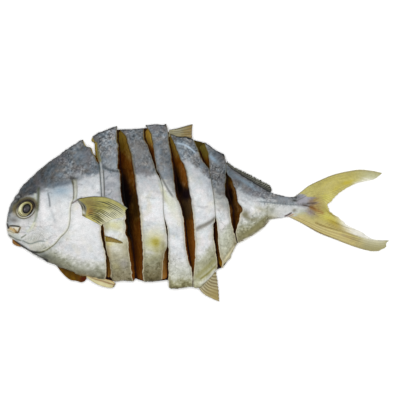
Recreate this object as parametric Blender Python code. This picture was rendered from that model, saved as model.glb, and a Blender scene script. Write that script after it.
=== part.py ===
"""A dried pomfret lying on its right side: one whole fish, cut open by six deep gashes across its left side.

Frame: +X runs from the snout to the tail, +Y from the belly to the back, +Z up through the fish. The origin is
on the surface that the fish lies on, under the middle of its box. Lengths below are in millimetres: x is
measured back from the snout, y up from the middle of the tail fork, z up from the surface.
"""

import math

import bmesh
import bpy
import numpy as np

MM = 0.001
WELD = 0.00001  # in metres, for the loose caps of a curve

# Driving dimensions
TOTAL_LENGTH = 320.0  # snout to the tip of the lower tail lobe
HIGHEST_BACK = 69.5  # top of the third strip
LOWEST_FIN = -79.0  # tip of the torn anal fin
FLESH_END = 262.0  # where the tail's flesh runs out between the fin rays
RIM_SHARPNESS = 1.15  # 1 is an ellipse across the fish, more is a lens with a keen back and belly
RING_POINTS = 24
STATION_STEP = 8.0
STATION_LEAST = 1.0  # sections are no closer than this
WEB = 6.0  # uncut flesh left under each gash
WEB_SHARE = 0.7  # of half the thickness, where the fish is too thin for that
SLIT_LEAST = 0.8  # a gash whose lips have closed up again
FLOOR_WIDTH = 1.2  # of a gash, at its deepest
WALL_LEAN = 0.18  # how far across a gash its floor lies, from the steep wall
FIN_THICKNESS = 1.8
ROOT_DEPTH = 4.0  # how far a fin's root reaches into the flesh
FLAP_DROP = 2.5  # the belly flap hangs from the lower side of the rim
PECTORAL_LIFT = 0.4  # the middle of the pectoral fin above the skin

# How thick the fish is, as half the thickness at each x, and how high its middle plane lies
HALF_THICKNESS = [
    (0, 1.6), (1.5, 4.2), (5, 6.6), (10, 8.6), (16, 10.2), (30, 12.6), (50, 13.9), (85, 14.2),
    (120, 13.8), (150, 12.5), (180, 10.4), (205, 7.8), (225, 5.6), (240, 4.3), (252, 2.8), (262, 1.2),
]  # fmt: skip
MIDDLE_HEIGHT = [(0, 12), (16, 12.6), (60, 13), (140, 13), (180, 11.4), (230, 8), (320, 4.2)]

# The outline, one stretch of back and of belly for each piece between two gashes
BACK = {
    "head": [(0, -13.5), (1.3, -5), (4.6, 3.8), (9.6, 12.1), (22.1, 25.9), (42.1, 42.1), (63.8, 56.2)],
    "strip_1": [(71.6, 58.4), (78, 62.2), (92.2, 67.6)],
    "strip_2": [(94.3, 64.7), (114.7, 65.7)],
    "strip_3": [(116, 68.2), (133.1, HIGHEST_BACK)],
    "strip_4": [(136, 61.5), (143, 58.8), (155.2, 56)],
    "strip_5": [(165.2, 54.1), (173.1, 48.4), (181.9, 43.4)],
    "tail": [(184, 36), (204, 22.5), (219.9, 12.9), (227.4, 10.4), (240, 8.3), (262, 5)],
}
BELLY = {
    "head": [(0, -14.5), (1.5, -23.8), (7.1, -28.4), (14.6, -34.6), (33, -45.1), (62.2, -57.6), (82.6, -60.9)],
    "strip_1": [(87.2, -58.8), (90.5, -62.2), (105.6, -62.4)],
    "strip_2": [(109.3, -60.5), (119.7, -62.6), (134.6, -60.9)],
    "strip_3": [(137.3, -67.6), (141.4, -68.4), (155.4, -67)],
    "strip_4": [(157, -67), (159.8, -68), (166.5, -63), (175.2, -52.6)],
    "strip_5": [(176.9, -52.6), (180.2, -50.9), (192.6, -31)],
    "tail": [(193.4, -30.5), (208.2, -21.3), (219, -10.8), (227.4, -9.6), (235, -7.9), (262, -6)],
}

# The gashes, from belly to back: y, x of the middle and how far the lips stand apart
GASHES = {
    "gash_1": [(-61, 85.5, 5.8), (-36, 83.4, 2.5), (-18, 80.3, 2.1), (10, 80.4, 1.3), (39, 76.2, 1.8),
               (47.6, 73, 4.6), (56, 68, 8.3)],
    "gash_2": [(-62, 109.1, 6.4), (-52.6, 109.4, 9.7), (-36, 108.4, 11.6), (-19, 106.6, 14.2),
               (14, 102.5, 13.5), (47.6, 98.1, 10.6), (58.4, 96.1, 7.8), (65, 93.3, 2.1)],
    "gash_3": [(-61, 133.6, 3.9), (-48.4, 133.6, 3.8), (-36, 134.2, 1.8), (-9, 131.9, 0.6),
               (22.5, 128.6, 0.4), (34, 124.4, 1), (51.7, 119.9, 5.3), (60, 117.8, 5.8), (67, 115.5, 1.5)],
    "gash_4": [(-67, 156, 0.3), (-55, 155.5, 1.3), (-42.6, 154.5, 5.8), (-12.5, 152.1, 9.3),
               (14.2, 146.9, 12.5), (39, 142.4, 9.7), (60, 136.1, 2), (67, 134.8, 1.7)],
    "gash_5": [(-52, 177.6, 4), (-27.5, 175, 3.8), (-17.5, 174.4, 3.5), (-8.3, 174.6, 0.5),
               (18.4, 171.5, 0.4), (31, 169.1, 0.8), (39, 166.2, 6.1), (54, 161.5, 8.3)],
    "gash_6": [(-30.5, 192.8, 0.3), (-23.4, 191, 0.8), (-15, 190.6, 5.2), (-2.5, 191.4, 11.8),
               (14.2, 187.1, 8.5), (29, 183.2, 1), (37, 183.7, 0.5)],
}  # fmt: skip
# Where a gash has split the rim and runs right through: above this y, or below it
OPEN_ABOVE = {"gash_1": 43.0}
OPEN_BELOW = {"gash_2": -56.0}
GASH_OVERSHOOT = 5.0  # how far a gash runs on past the rim
GASH_SECTIONS = 20

# Fins and flaps: smooth spans between sharp corners, closed by a root line inside the flesh
TAIL_FIN = [
    [(240.2, 8.3), (251.9, 17.3), (273.2, 26.9), (295.6, 31.1), (313.7, 28.5)],
    [(313.7, 28.5), (308.3, 23.7), (294.5, 20.5), (278.5, 11.9), (268.9, 0.3), (271.1, -4),
     (287, -16.8), (308.3, -28.5), (TOTAL_LENGTH, -29.5)],
    [(TOTAL_LENGTH, -29.5), (316.8, -34.9), (310.5, -37), (289.2, -32.7), (260.4, -21.5), (235.5, -7.4)],
]  # fmt: skip
FRONT_DORSAL_FIN = [
    [(136.8, 62.5), (141.4, 65.1), (155.4, 69.1)],
    [(155.4, 69.1), (154.8, 60), (155, 56 - ROOT_DEPTH)],
    [(155, 56 - ROOT_DEPTH), (143, 58.8 - ROOT_DEPTH), (138, 57)],
]
REAR_DORSAL_FIN = [
    [(184.2, 37.8), (195.5, 30.5), (209.4, 23.5), (220, 17.9)],
    [(220, 17.9), (221, 14.2), (219.5, 11)],
    [(219.5, 11), (204, 22.5 - ROOT_DEPTH), (190.5, 28.5)],
]
ANAL_FIN = [
    [(159.8, -68 + ROOT_DEPTH), (159.4, -67.2), (165, -72.8), (171.5, -76.3), (177.8, LOWEST_FIN)],
    [(177.8, LOWEST_FIN), (177.3, -70.9), (176.1, -60.5), (174, -53)],
    [(174, -53), (170.5, -53.5), (166.5, -63 + ROOT_DEPTH), (159.8, -68 + ROOT_DEPTH)],
]
PELVIC_FIN = [
    [(66.7, -57.3), (70.5, -61.2), (76.1, -64.6), (87.5, -67.6), (91, -64.2)],
    [(91, -64.2), (88, -62.4), (81.2, -60.3), (79, -57)],
    [(79, -57), (73, -55), (66.7, -57.3)],
]
BELLY_FLAP = [
    [(41.6, -49.2), (46.6, -55.2), (54.3, -61.2), (62.4, -62.7), (66.7, -59.5)],
    [(66.7, -59.5), (65.5, -55), (55, -50.5), (45, -46.5), (41.6, -49.2)],
]
CHIN_FLAP = [
    [(5.4, -27), (5, -29.2), (8.8, -32.5), (13.5, -33.4)],
    [(13.5, -33.4), (15.5, -31), (9, -27), (5.4, -27)],
]
PECTORAL_FIN = [
    [(59.5, 5), (64.7, 9.6), (80.5, 8.3), (94.7, 3.3), (101, -0.8)],
    [(101, -0.8), (98, -8.8), (84.7, -14.2), (79.7, -16.3)],
    [(79.7, -16.3), (72.2, -11.7), (63.8, -7.1), (59.5, 5)],
]
OUTLINE_STEPS = 3
GROOVE_STEPS = 2

# Eye, mouth and gill cover, the same on both sides of the head
EYE_CENTRE = (16.4, -1.7)
EYE_RADII = (5.9, 6.4, 2.4)
SOCKET_RADII = (8.0, 8.8, 1.5)
GROOVES = {
    "gill_cover_edge": (0.8, [(55.7, 20), (57.2, 12.5), (57.9, 7.3), (53.7, 2), (53.7, -8.7), (52.6, -16.7),
                              (46.2, -24.6), (40.9, -31), (34.5, -35.8), (24.4, -38)]),
    "mouth": (0.9, [(0.8, -16.8), (4.2, -15.5), (8, -15.8), (11.2, -16.8), (9.3, -20.4)]),
}  # fmt: skip
KNIFE_MARK = (1.5, [(81, -26.4), (88.9, -27.6), (96.4, -29.6)])

SKIN_COLOUR = (0.60, 0.61, 0.62, 1)
FLESH_COLOUR = (0.20, 0.10, 0.03, 1)
FIN_COLOUR = (0.52, 0.47, 0.20, 1)


def world(x, y, z):
    """A point of the fish, in millimetres, as a point of the scene, in metres."""
    middle = (HIGHEST_BACK + LOWEST_FIN) / 2
    return ((x - TOTAL_LENGTH / 2) * MM, (y - middle) * MM, z * MM)


def at(table, x):
    """Reads a list of (x, value) pairs at x, in straight lines between them."""
    places, values = zip(*table)
    return np.interp(x, places, values)


def outline(pieces):
    return [point for stretch in pieces.values() for point in stretch]


def across(x, y):
    """How far y lies from the middle of the section at x: 0 in the middle, 1 at the back or belly."""
    back, belly = at(outline(BACK), x), at(outline(BELLY), x)
    return np.clip(abs(2 * y - back - belly) / (back - belly), 0, 1)


def half_at(x, y):
    """Half the thickness of the fish at (x, y)."""
    return at(HALF_THICKNESS, x) * (1 - across(x, y) ** 2) ** (RIM_SHARPNESS / 2)


def skin(x, y, side=1):
    """Height of the skin at (x, y), on the upper side or, with side -1, on the lower one."""
    return max(at(MIDDLE_HEIGHT, x) + side * half_at(x, y), 0)


def smooth(points, steps):
    """A Catmull-Rom curve through the points, as a list of points, with this many steps from each to the next."""
    points = [np.array(point, float) for point in points]
    ends = [2 * points[0] - points[1], *points, 2 * points[-1] - points[-2]]
    curve = []
    for before, start, end, after in zip(ends, ends[1:], ends[2:], ends[3:]):
        for t in np.arange(steps) / steps:
            bend = (2 * before - 5 * start + 4 * end - after) * t**2
            twist = (3 * start - before - 3 * end + after) * t**3
            curve.append((2 * start + (end - before) * t + bend + twist) / 2)
    return [*curve, points[-1]]


def material(name, colour, roughness):
    made = bpy.data.materials.new(name)
    made.use_nodes = True
    shader = made.node_tree.nodes["Principled BSDF"]
    shader.inputs["Base Color"].default_value = colour
    shader.inputs["Roughness"].default_value = roughness
    return made


def mesh_object(name, form, paint, collection):
    """Makes an object of the bmesh, its faces turned outward, in the collection."""
    bmesh.ops.recalc_face_normals(form, faces=form.faces[:])
    mesh = bpy.data.meshes.new(name)
    form.to_mesh(mesh)
    form.free()
    mesh.materials.append(paint)
    made = bpy.data.objects.new(name, mesh)
    collection.objects.link(made)
    return made


def loft(name, rings, paint, collection):
    """A closed solid through rings that all have the same number of points."""
    form = bmesh.new()
    corners = [[form.verts.new(world(*point)) for point in ring] for ring in rings]
    for ring, following in zip(corners, corners[1:]):
        for i in range(len(ring)):
            form.faces.new((ring[i - 1], ring[i], following[i], following[i - 1]))
    form.faces.new(corners[0])
    form.faces.new(corners[-1][::-1])
    bmesh.ops.triangulate(form, faces=form.faces[:])
    return mesh_object(name, form, paint, collection)


def body_ring(x):
    """The section of the fish at x: a lens, pressed flat where it would sink below the surface."""
    back, belly = at(outline(BACK), x), at(outline(BELLY), x)
    ring = []
    for angle in np.arange(RING_POINTS) * math.tau / RING_POINTS:
        y = (back + belly) / 2 + (back - belly) / 2 * math.cos(angle)
        lift = math.copysign(abs(math.sin(angle)) ** RIM_SHARPNESS, math.sin(angle))
        ring.append((x, y, max(at(MIDDLE_HEIGHT, x) + at(HALF_THICKNESS, x) * lift, 0)))
    return ring


def body(paint, collection):
    corners = {x for x, _ in outline(BACK) + outline(BELLY)}
    between = [x for x in np.arange(0, FLESH_END, STATION_STEP)
               if min(abs(x - corner) for corner in corners) > STATION_STEP / 2]  # fmt: skip
    stations = [0]
    for x in sorted([*corners, *between]):
        if x - stations[-1] > STATION_LEAST:
            stations.append(x)
    return loft("pomfret", [body_ring(x) for x in stations], paint, collection)


def gash(name, stations, paint, collection):
    """A wedge with a steep wall towards the head and a sloping one towards the tail."""
    places, middles, gaps = (np.array(column, float) for column in zip(*stations))
    rings = []
    for y in np.linspace(places[0] - GASH_OVERSHOOT, places[-1] + GASH_OVERSHOOT, GASH_SECTIONS):
        x, gap = np.interp(y, places, middles), max(np.interp(y, places, gaps), SLIT_LEAST)
        left, right, foot = x - gap / 2, x + gap / 2, min(gap, FLOOR_WIDTH) / 2
        deepest = left + foot + WALL_LEAN * (gap - 2 * foot)
        top, half = skin(x, y), half_at(x, y)
        bottom = max(top - 2 * half, 0) + min(WEB, WEB_SHARE * half)
        if y > OPEN_ABOVE.get(name, math.inf) or y < OPEN_BELOW.get(name, -math.inf):
            bottom = -GASH_OVERSHOOT
        if across(x, y) == 1:
            bottom = top - GASH_OVERSHOOT
        high = top + GASH_OVERSHOOT
        rings.append([(left, y, high), (right, y, high), (right, y, top), (deepest + foot, y, bottom),
                      (deepest - foot, y, bottom), (left, y, top)])  # fmt: skip
    return loft(name, rings, paint, collection)


def curve_data(name, dimensions, points):
    """A curve of straight runs through points of the fish, in millimetres."""
    data = bpy.data.curves.new(name, "CURVE")
    data.dimensions = dimensions
    spline = data.splines.new("POLY")
    spline.points.add(len(points) - 1)
    for corner, point in zip(spline.points, points):
        corner.co = (*world(*point), 1)
    return data


def curve_solid(data):
    """The closed bmesh of a curve's evaluated shape."""
    guide = bpy.data.objects.new(data.name, data)
    bpy.context.scene.collection.objects.link(guide)
    bpy.context.view_layer.update()
    mesh = bpy.data.meshes.new_from_object(guide.evaluated_get(bpy.context.evaluated_depsgraph_get()))
    bpy.data.objects.remove(guide)
    form = bmesh.new()
    form.from_mesh(mesh)
    bmesh.ops.remove_doubles(form, verts=form.verts[:], dist=WELD)
    return form


def plate(name, spans, middle, slope, paint, collection):
    """A flat outline with a thickness, laid at the height middle where x is least and sloping along X."""
    points = [point for span in spans for point in smooth(span, OUTLINE_STEPS)[:-1]]
    data = curve_data(name, "2D", [(x, y, 0) for x, y in points])
    data.fill_mode = "BOTH"
    data.extrude = FIN_THICKNESS / 2 * MM
    data.splines[0].use_cyclic_u = True
    form = curve_solid(data)
    start = world(min(x for x, _ in points), 0, 0)[0]
    for corner in form.verts:
        corner.co.z += middle * MM + slope * (corner.co.x - start)
    return mesh_object(name, form, paint, collection)


def rim_fin(name, spans, paint, collection, drop=0.0):
    """A fin in the middle plane of the fish, which slopes down towards the tail."""
    along = [x for span in spans for x, _ in span]
    first, last = (at(MIDDLE_HEIGHT, x) - drop for x in (min(along), max(along)))
    return plate(name, spans, first, (last - first) / (max(along) - min(along)), paint, collection)


def groove(name, radius, points, side, paint, collection):
    """A tube along a line on the skin, to be cut out of it."""
    route = [(x, y, skin(x, y, side)) for x, y in smooth(points, GROOVE_STEPS)]
    data = curve_data(name, "3D", route)
    data.bevel_depth = radius * MM
    data.bevel_resolution = 1
    data.use_fill_caps = True
    return mesh_object(name, curve_solid(data), paint, collection)


def ball(name, radii, side, paint, collection):
    """An ellipsoid centred on the skin where the eye is."""
    form = bmesh.new()
    bmesh.ops.create_uvsphere(form, u_segments=16, v_segments=8, radius=1)
    centre = (*EYE_CENTRE, skin(*EYE_CENTRE, side))
    bmesh.ops.scale(form, verts=form.verts[:], vec=[radius * MM for radius in radii])
    bmesh.ops.translate(form, verts=form.verts[:], vec=world(*centre))
    return mesh_object(name, form, paint, collection)


def boolean(fish, tool, operation):
    cut = fish.modifiers.new(tool.name, "BOOLEAN")
    cut.operation = operation
    cut.solver = "EXACT"
    cut.material_mode = "TRANSFER"
    cut.object = tool
    tool.hide_render = True
    tool.display_type = "WIRE"


def new_collection(name):
    made = bpy.data.collections.new(name)
    bpy.context.scene.collection.children.link(made)
    return made


def main():
    for old in list(bpy.data.objects):
        bpy.data.objects.remove(old)
    parts, cutters, joined = (new_collection(name) for name in ("dried_pomfret", "cutters", "joined"))
    skin_paint = material("skin", SKIN_COLOUR, 0.45)
    flesh_paint = material("flesh", FLESH_COLOUR, 0.6)
    fin_paint = material("fin", FIN_COLOUR, 0.5)

    fish = body(skin_paint, parts)
    for name, stations in GASHES.items():
        boolean(fish, gash(name, stations, flesh_paint, cutters), "DIFFERENCE")
    for side, word in ((1, "left"), (-1, "right")):
        for name, (radius, points) in GROOVES.items():
            boolean(fish, groove(f"{word}_{name}", radius, points, side, flesh_paint, cutters), "DIFFERENCE")
        boolean(fish, ball(f"{word}_socket", SOCKET_RADII, side, skin_paint, cutters), "DIFFERENCE")
    boolean(fish, groove("knife_mark", *KNIFE_MARK, 1, flesh_paint, cutters), "DIFFERENCE")

    fins = {"tail_fin": TAIL_FIN, "front_dorsal_fin": FRONT_DORSAL_FIN, "rear_dorsal_fin": REAR_DORSAL_FIN,
            "anal_fin": ANAL_FIN, "pelvic_fin": PELVIC_FIN, "chin_flap": CHIN_FLAP}  # fmt: skip
    for name, spans in fins.items():
        boolean(fish, rim_fin(name, spans, fin_paint, joined), "UNION")
    boolean(fish, rim_fin("belly_flap", BELLY_FLAP, fin_paint, joined, FLAP_DROP), "UNION")
    root_x, root_y = PECTORAL_FIN[0][0]
    lift = skin(root_x, root_y) + PECTORAL_LIFT
    boolean(fish, plate("pectoral_fin", PECTORAL_FIN, lift, 0, fin_paint, joined), "UNION")
    for side, word in ((1, "left"), (-1, "right")):
        boolean(fish, ball(f"{word}_eye", EYE_RADII, side, fin_paint, joined), "UNION")


main()
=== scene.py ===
# %% [markdown]
# # A dried pomfret, cut open by six gashes
#
# The object is one whole dried fish that lies on its right side. Six deep cuts cross its left side, so five
# strips of flesh stand between the head and the tail piece, and all of them still hang on the uncut far side.
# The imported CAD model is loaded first. It fixes the place and the size of everything, and stays as it is.

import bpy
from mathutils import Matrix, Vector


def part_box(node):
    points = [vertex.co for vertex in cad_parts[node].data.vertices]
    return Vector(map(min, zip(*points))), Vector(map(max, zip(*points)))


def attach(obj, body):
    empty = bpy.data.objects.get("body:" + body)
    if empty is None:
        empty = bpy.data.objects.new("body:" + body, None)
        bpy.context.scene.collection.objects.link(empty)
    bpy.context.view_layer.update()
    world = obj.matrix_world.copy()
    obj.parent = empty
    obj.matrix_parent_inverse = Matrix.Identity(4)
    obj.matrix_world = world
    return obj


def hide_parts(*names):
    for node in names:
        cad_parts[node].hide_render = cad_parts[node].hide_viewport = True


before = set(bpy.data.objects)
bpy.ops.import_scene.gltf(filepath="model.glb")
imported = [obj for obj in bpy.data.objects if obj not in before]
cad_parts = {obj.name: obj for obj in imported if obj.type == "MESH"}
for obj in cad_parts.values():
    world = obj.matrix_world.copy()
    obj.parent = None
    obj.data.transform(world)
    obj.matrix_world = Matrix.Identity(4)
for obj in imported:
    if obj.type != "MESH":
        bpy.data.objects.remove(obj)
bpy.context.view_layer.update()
low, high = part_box("pomfret")

# %% [markdown]
# ## Millimetres of the fish
# Every length below is in millimetres on the fish itself: x runs back from the snout, y up from the middle of
# the tail fork, z up from the surface. One function turns them into the metres of the frame. The highest point
# of the back fixes y, because the CAD box ends there too.

# %% From the fish to the frame
import math

import bpy
import numpy as np

MM = 0.001
HIGHEST_BACK = 69.5


def to_frame(x, y, z):
    """The frame's point is the box's low x plus x, its high y less what y lacks of the back, and z."""
    return np.stack([low.x + x * MM, high.y + (y - HIGHEST_BACK) * MM, z * MM], axis=-1)


print("snout at", to_frame(0.0, -14.0, 12.0).round(4))

# %% [markdown]
# ## Smooth lines from a few measured points
# An outline is known at a few places only. A cubic through each pair of neighbours joins them, and its slopes
# are the harmonic means of the slopes on both sides, so the line never swings past a measured value. The same
# cubic, run over the distance walked, gives a smooth path through points in the plane.


# %% Smooth lines
def curve(table, at):
    """Reads (x, value) pairs at any x. Between neighbours it is the cubic h00 a + h10 s a' + h01 b + h11 s b'."""
    x, value = np.array(table, float).T
    step = np.diff(x)
    rise = np.diff(value) / step
    same = rise[:-1] * rise[1:] > 0
    total = np.where(same, rise[:-1] + rise[1:], 1)
    slope = np.concatenate([rise[:1], np.where(same, 2 * rise[:-1] * rise[1:] / total, 0), rise[-1:]])
    at = np.clip(at, x[0], x[-1])
    i = np.clip(np.searchsorted(x, at, side="right") - 1, 0, len(x) - 2)
    t = (at - x[i]) / step[i]
    start = (1 + 2 * t) * (1 - t) ** 2 * value[i] + t * (1 - t) ** 2 * step[i] * slope[i]
    end = t * t * (3 - 2 * t) * value[i + 1] + t * t * (t - 1) * step[i] * slope[i + 1]
    return start + end


def straight(table, x):
    """Reads (x, value) pairs at any x, with straight lines between neighbours."""
    return np.interp(x, *np.array(table, float).T)


def walk(points, share):
    """The path through points at these shares of its length: each coordinate is a curve of the distance walked."""
    points = np.array(points, float)
    walked = np.concatenate([[0], np.cumsum(np.hypot(*np.diff(points, axis=0).T))])
    return np.stack([curve(np.stack([walked, c], 1), share * walked[-1]) for c in points.T], axis=-1)


def smooth(first, last, value):
    """0 up to first, 1 from last on, and 3t² - 2t³ between them."""
    t = np.clip((value - first) / (last - first), 0, 1)
    return t * t * (3 - 2 * t)


print("half way along a bent path:", walk([(0, 0), (10, 0), (10, 10)], np.array([0.5])).round(2))

# %% [markdown]
# ## Roughness without a pattern
# Dried skin is wrinkled and blotchy in every size at once. Smooth value noise gives that: random heights on a
# square lattice, joined by the same 3t² - 2t³. Several octaves are added, each half as large and half as high,
# and each turned by a fixed angle, so that no lattice shows. The seeds are fixed, so every run is the same.

# %% Noise
OCTAVE_TURN = math.radians(37)
LATTICE = 256


def value_noise(x, y, seed):
    """Heights from -1 to 1 at whole x and y, with 3t² - 2t³ between them in both directions."""
    heights = np.random.default_rng(seed).uniform(-1, 1, (LATTICE, LATTICE))
    i, j = np.floor(x).astype(int), np.floor(y).astype(int)
    s, t = smooth(0, 1, x - i), smooth(0, 1, y - j)
    i, j, after, above = i % LATTICE, j % LATTICE, (i + 1) % LATTICE, (j + 1) % LATTICE
    lower = heights[i, j] * (1 - s) + heights[after, j] * s
    upper = heights[i, above] * (1 - s) + heights[after, above] * s
    return lower * (1 - t) + upper * t


def rough(x, y, size, seed, octaves=4):
    """Sum of value_noise(2^k p / size) / 2^k over k, the point p turned a little more for each k."""
    total = np.zeros(np.broadcast(x, y).shape)
    for k in range(octaves):
        c, s = math.cos(k * OCTAVE_TURN), math.sin(k * OCTAVE_TURN)
        scale = 2**k / size
        total += value_noise((c * x - s * y) * scale + 17.3 * k, (s * x + c * y) * scale + 5.1 * k, seed + k) / 2**k
    return total


print("noise runs from", *rough(*np.meshgrid(np.arange(90.0), np.arange(90.0)), 9, 1).ravel()[[0, 4000]].round(2))

# %% [markdown]
# ## Marks on the skin
# Creases, gill covers, stains and fin roots are all placed by two measures. One is the distance to a line, with
# a sign for its side, so that a plate can stand above its neighbour. The other is a soft oval patch.

# %% Distance to a line, and soft ovals
PATH_STEPS = 40
FAR = 60.0  # mm, farther than any mark reaches


def beside(x, y, points):
    """(distance in mm, share of the way) of the nearest place on the path; left of its direction is positive."""
    path = walk(points, np.linspace(0, 1, PATH_STEPS + 1))
    nearest, side, share = np.full(x.shape, FAR), np.ones(x.shape), np.zeros(x.shape)
    for k in range(PATH_STEPS):
        (ax, ay), (dx, dy) = path[k], path[k + 1] - path[k]
        t = np.clip(((x - ax) * dx + (y - ay) * dy) / (dx * dx + dy * dy), 0, 1)
        ox, oy = x - ax - t * dx, y - ay - t * dy
        distance = np.hypot(ox, oy)
        closer = distance < nearest
        nearest = np.where(closer, distance, nearest)
        side = np.where(closer, np.where(dx * oy - dy * ox >= 0, 1, -1), side)
        share = np.where(closer, (k + t) / PATH_STEPS, share)
    return nearest * side, share


def oval(x, y, centre, radii, turn=0.0):
    """Distance from the centre in radii of an ellipse that is turned by so many degrees."""
    c, s = math.cos(math.radians(turn)), math.sin(math.radians(turn))
    dx, dy = x - centre[0], y - centre[1]
    return np.hypot((c * dx + s * dy) / radii[0], (c * dy - s * dx) / radii[1])


def spot(x, y, centre, radii, turn=0.0):
    """exp(-d²) of that distance, 1 in the middle and nearly 0 at two radii."""
    return np.exp(-(oval(x, y, centre, radii, turn) ** 2))


def ring(r, at, width):
    """exp(-((r - at) / width)²): 1 at the one distance, and nearly 0 two widths away from it."""
    return np.exp(-(((r - at) / width) ** 2))


print("4 mm to the left of a line, and half way:", *beside(np.array([5.0]), np.array([4.0]), [(0, 0), (10, 0)]))

# %% [markdown]
# Colours are laid over each other like glazes. Each coat has a colour, and an amount for every point, so soft
# noise decides where it shows. Their order matters, since a later coat covers the earlier ones.

# %% Colours laid over each other
def ground(colour, cloud):
    """One colour, lighter and darker by the cloud's number at each point."""
    return np.array(colour, float) + cloud[..., None]


def lay(tint, colour, amount):
    """Paints colour over tint: tint + amount (colour - tint), amount from 0 to 1."""
    return tint + (np.array(colour, float) - tint) * np.clip(amount, 0, 1)[..., None]


def layers(tint, *coats):
    """Lays one coat after the other, each a colour and its amount."""
    for colour, amount in coats:
        tint = lay(tint, colour, amount)
    return tint


print("half of black over white:", lay(np.full(3, 255.0), (0, 0, 0), np.array(0.5)))

# %% [markdown]
# ## The form of the whole fish
# A dried fish is a flat lens. Its middle plane sinks towards the tail, and its thickness swells behind the head
# and runs out in the tail. Across the fish the thickness falls from the middle to the back and the belly like
# (1 - v²) to a power a little above one half, which gives rims that are keener than those of an ellipse.

# %% Lengthwise tables and the two skins
HALF_THICKNESS = [
    (0, 1.6), (1.5, 4.2), (5, 6.6), (10, 8.6), (16, 10.2), (30, 12.6), (50, 13.9), (85, 14.2), (120, 13.8),
    (150, 12.5), (180, 10.4), (205, 7.8), (225, 5.6), (240, 3.8), (250, 2.0), (258, 0.9), (264, 0.4),
]  # fmt: skip
MIDDLE_HEIGHT = [(0, 12), (16, 12.6), (60, 13), (140, 13), (180, 11.4), (230, 8), (320, 4.2)]
RIM_POWER = 0.575
BACK = [
    (0, -13.5), (1.3, -5), (4.6, 3.8), (9.6, 12.1), (14.6, 18.4), (22.1, 25.9), (32.1, 34.6), (42.1, 42.1),
    (52.2, 48.8), (63.8, 56.2), (72, 58.3), (82, 62), (93, 64.6), (105, 65), (118, 66), (130, 65.5), (137, 61.8),
    (147, 58.6), (156, 56), (165.3, 53.6), (173.1, 48.4), (182, 41), (184, 36.6), (193.2, 29.2), (204, 22.5),
    (213.2, 16.7), (219.9, 12.9), (227.4, 10.4), (240, 8.4), (246, 9.8), (252, 12.6), (264, 17),
]  # fmt: skip
BELLY = [
    (0, -14.5), (1.5, -23.8), (7.1, -28.4), (14.6, -34.6), (22.9, -39.6), (33, -45.1), (42.1, -49.2),
    (48.8, -51.6), (55.5, -54.1), (62.2, -57.6), (69.7, -58.4), (82.5, -60.5), (90.5, -61.9), (106, -62.2),
    (119.7, -62.5), (130, -61.8), (135.4, -63.5), (138, -66.8), (142, -68), (150, -66.8), (160, -67.6),
    (166.5, -63), (175.2, -53), (180.2, -50.5), (186.2, -42.6), (193.3, -29.8), (200.7, -25.9), (208.2, -21.3),
    (214.9, -16.3), (219, -10.8), (227.4, -9.6), (235, -8.2), (240, -8.8), (246, -10.6), (252, -13.4), (264, -18),
]  # fmt: skip
PRESSED = 0.6  # mm over which the skin bends onto the surface it lies on


def middle(x):
    """Height of the middle plane in mm."""
    return curve(MIDDLE_HEIGHT, x)


def half(x):
    """Half of the thickness in mm, where the section at x is thickest."""
    return curve(HALF_THICKNESS, x)


def across(x, y):
    """-1 at the belly and 1 at the back: (2y - back - belly) / (back - belly)."""
    back, belly = curve(BACK, x), curve(BELLY, x)
    return np.clip((2 * y - back - belly) / (back - belly), -1, 1)


def lens(v):
    """(1 - v²) to the rim power: 1 in the middle, 0 at both rims."""
    return np.clip(1 - v * v, 0, 1) ** RIM_POWER


def press(z):
    """Nothing sinks below the surface: (z + sqrt(z² + w²)) / 2 bends a face onto z = 0 over about w."""
    return (z + np.sqrt(z * z + PRESSED**2)) / 2


def underside(x, y):
    """Height of the plain right skin: press(middle - half lens)."""
    return press(middle(x) - half(x) * lens(across(x, y)))


print("thickest section in mm:", round(2 * max(size for _, size in HALF_THICKNESS), 1))

# %% [markdown]
# ## The lips of the gashes
# Each gash has a lip on the side of the head and one on the side of the tail. They are measured from the belly
# up. Two gashes close to a line in the middle and open towards the rims, as cuts do when a thick piece dries.

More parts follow.
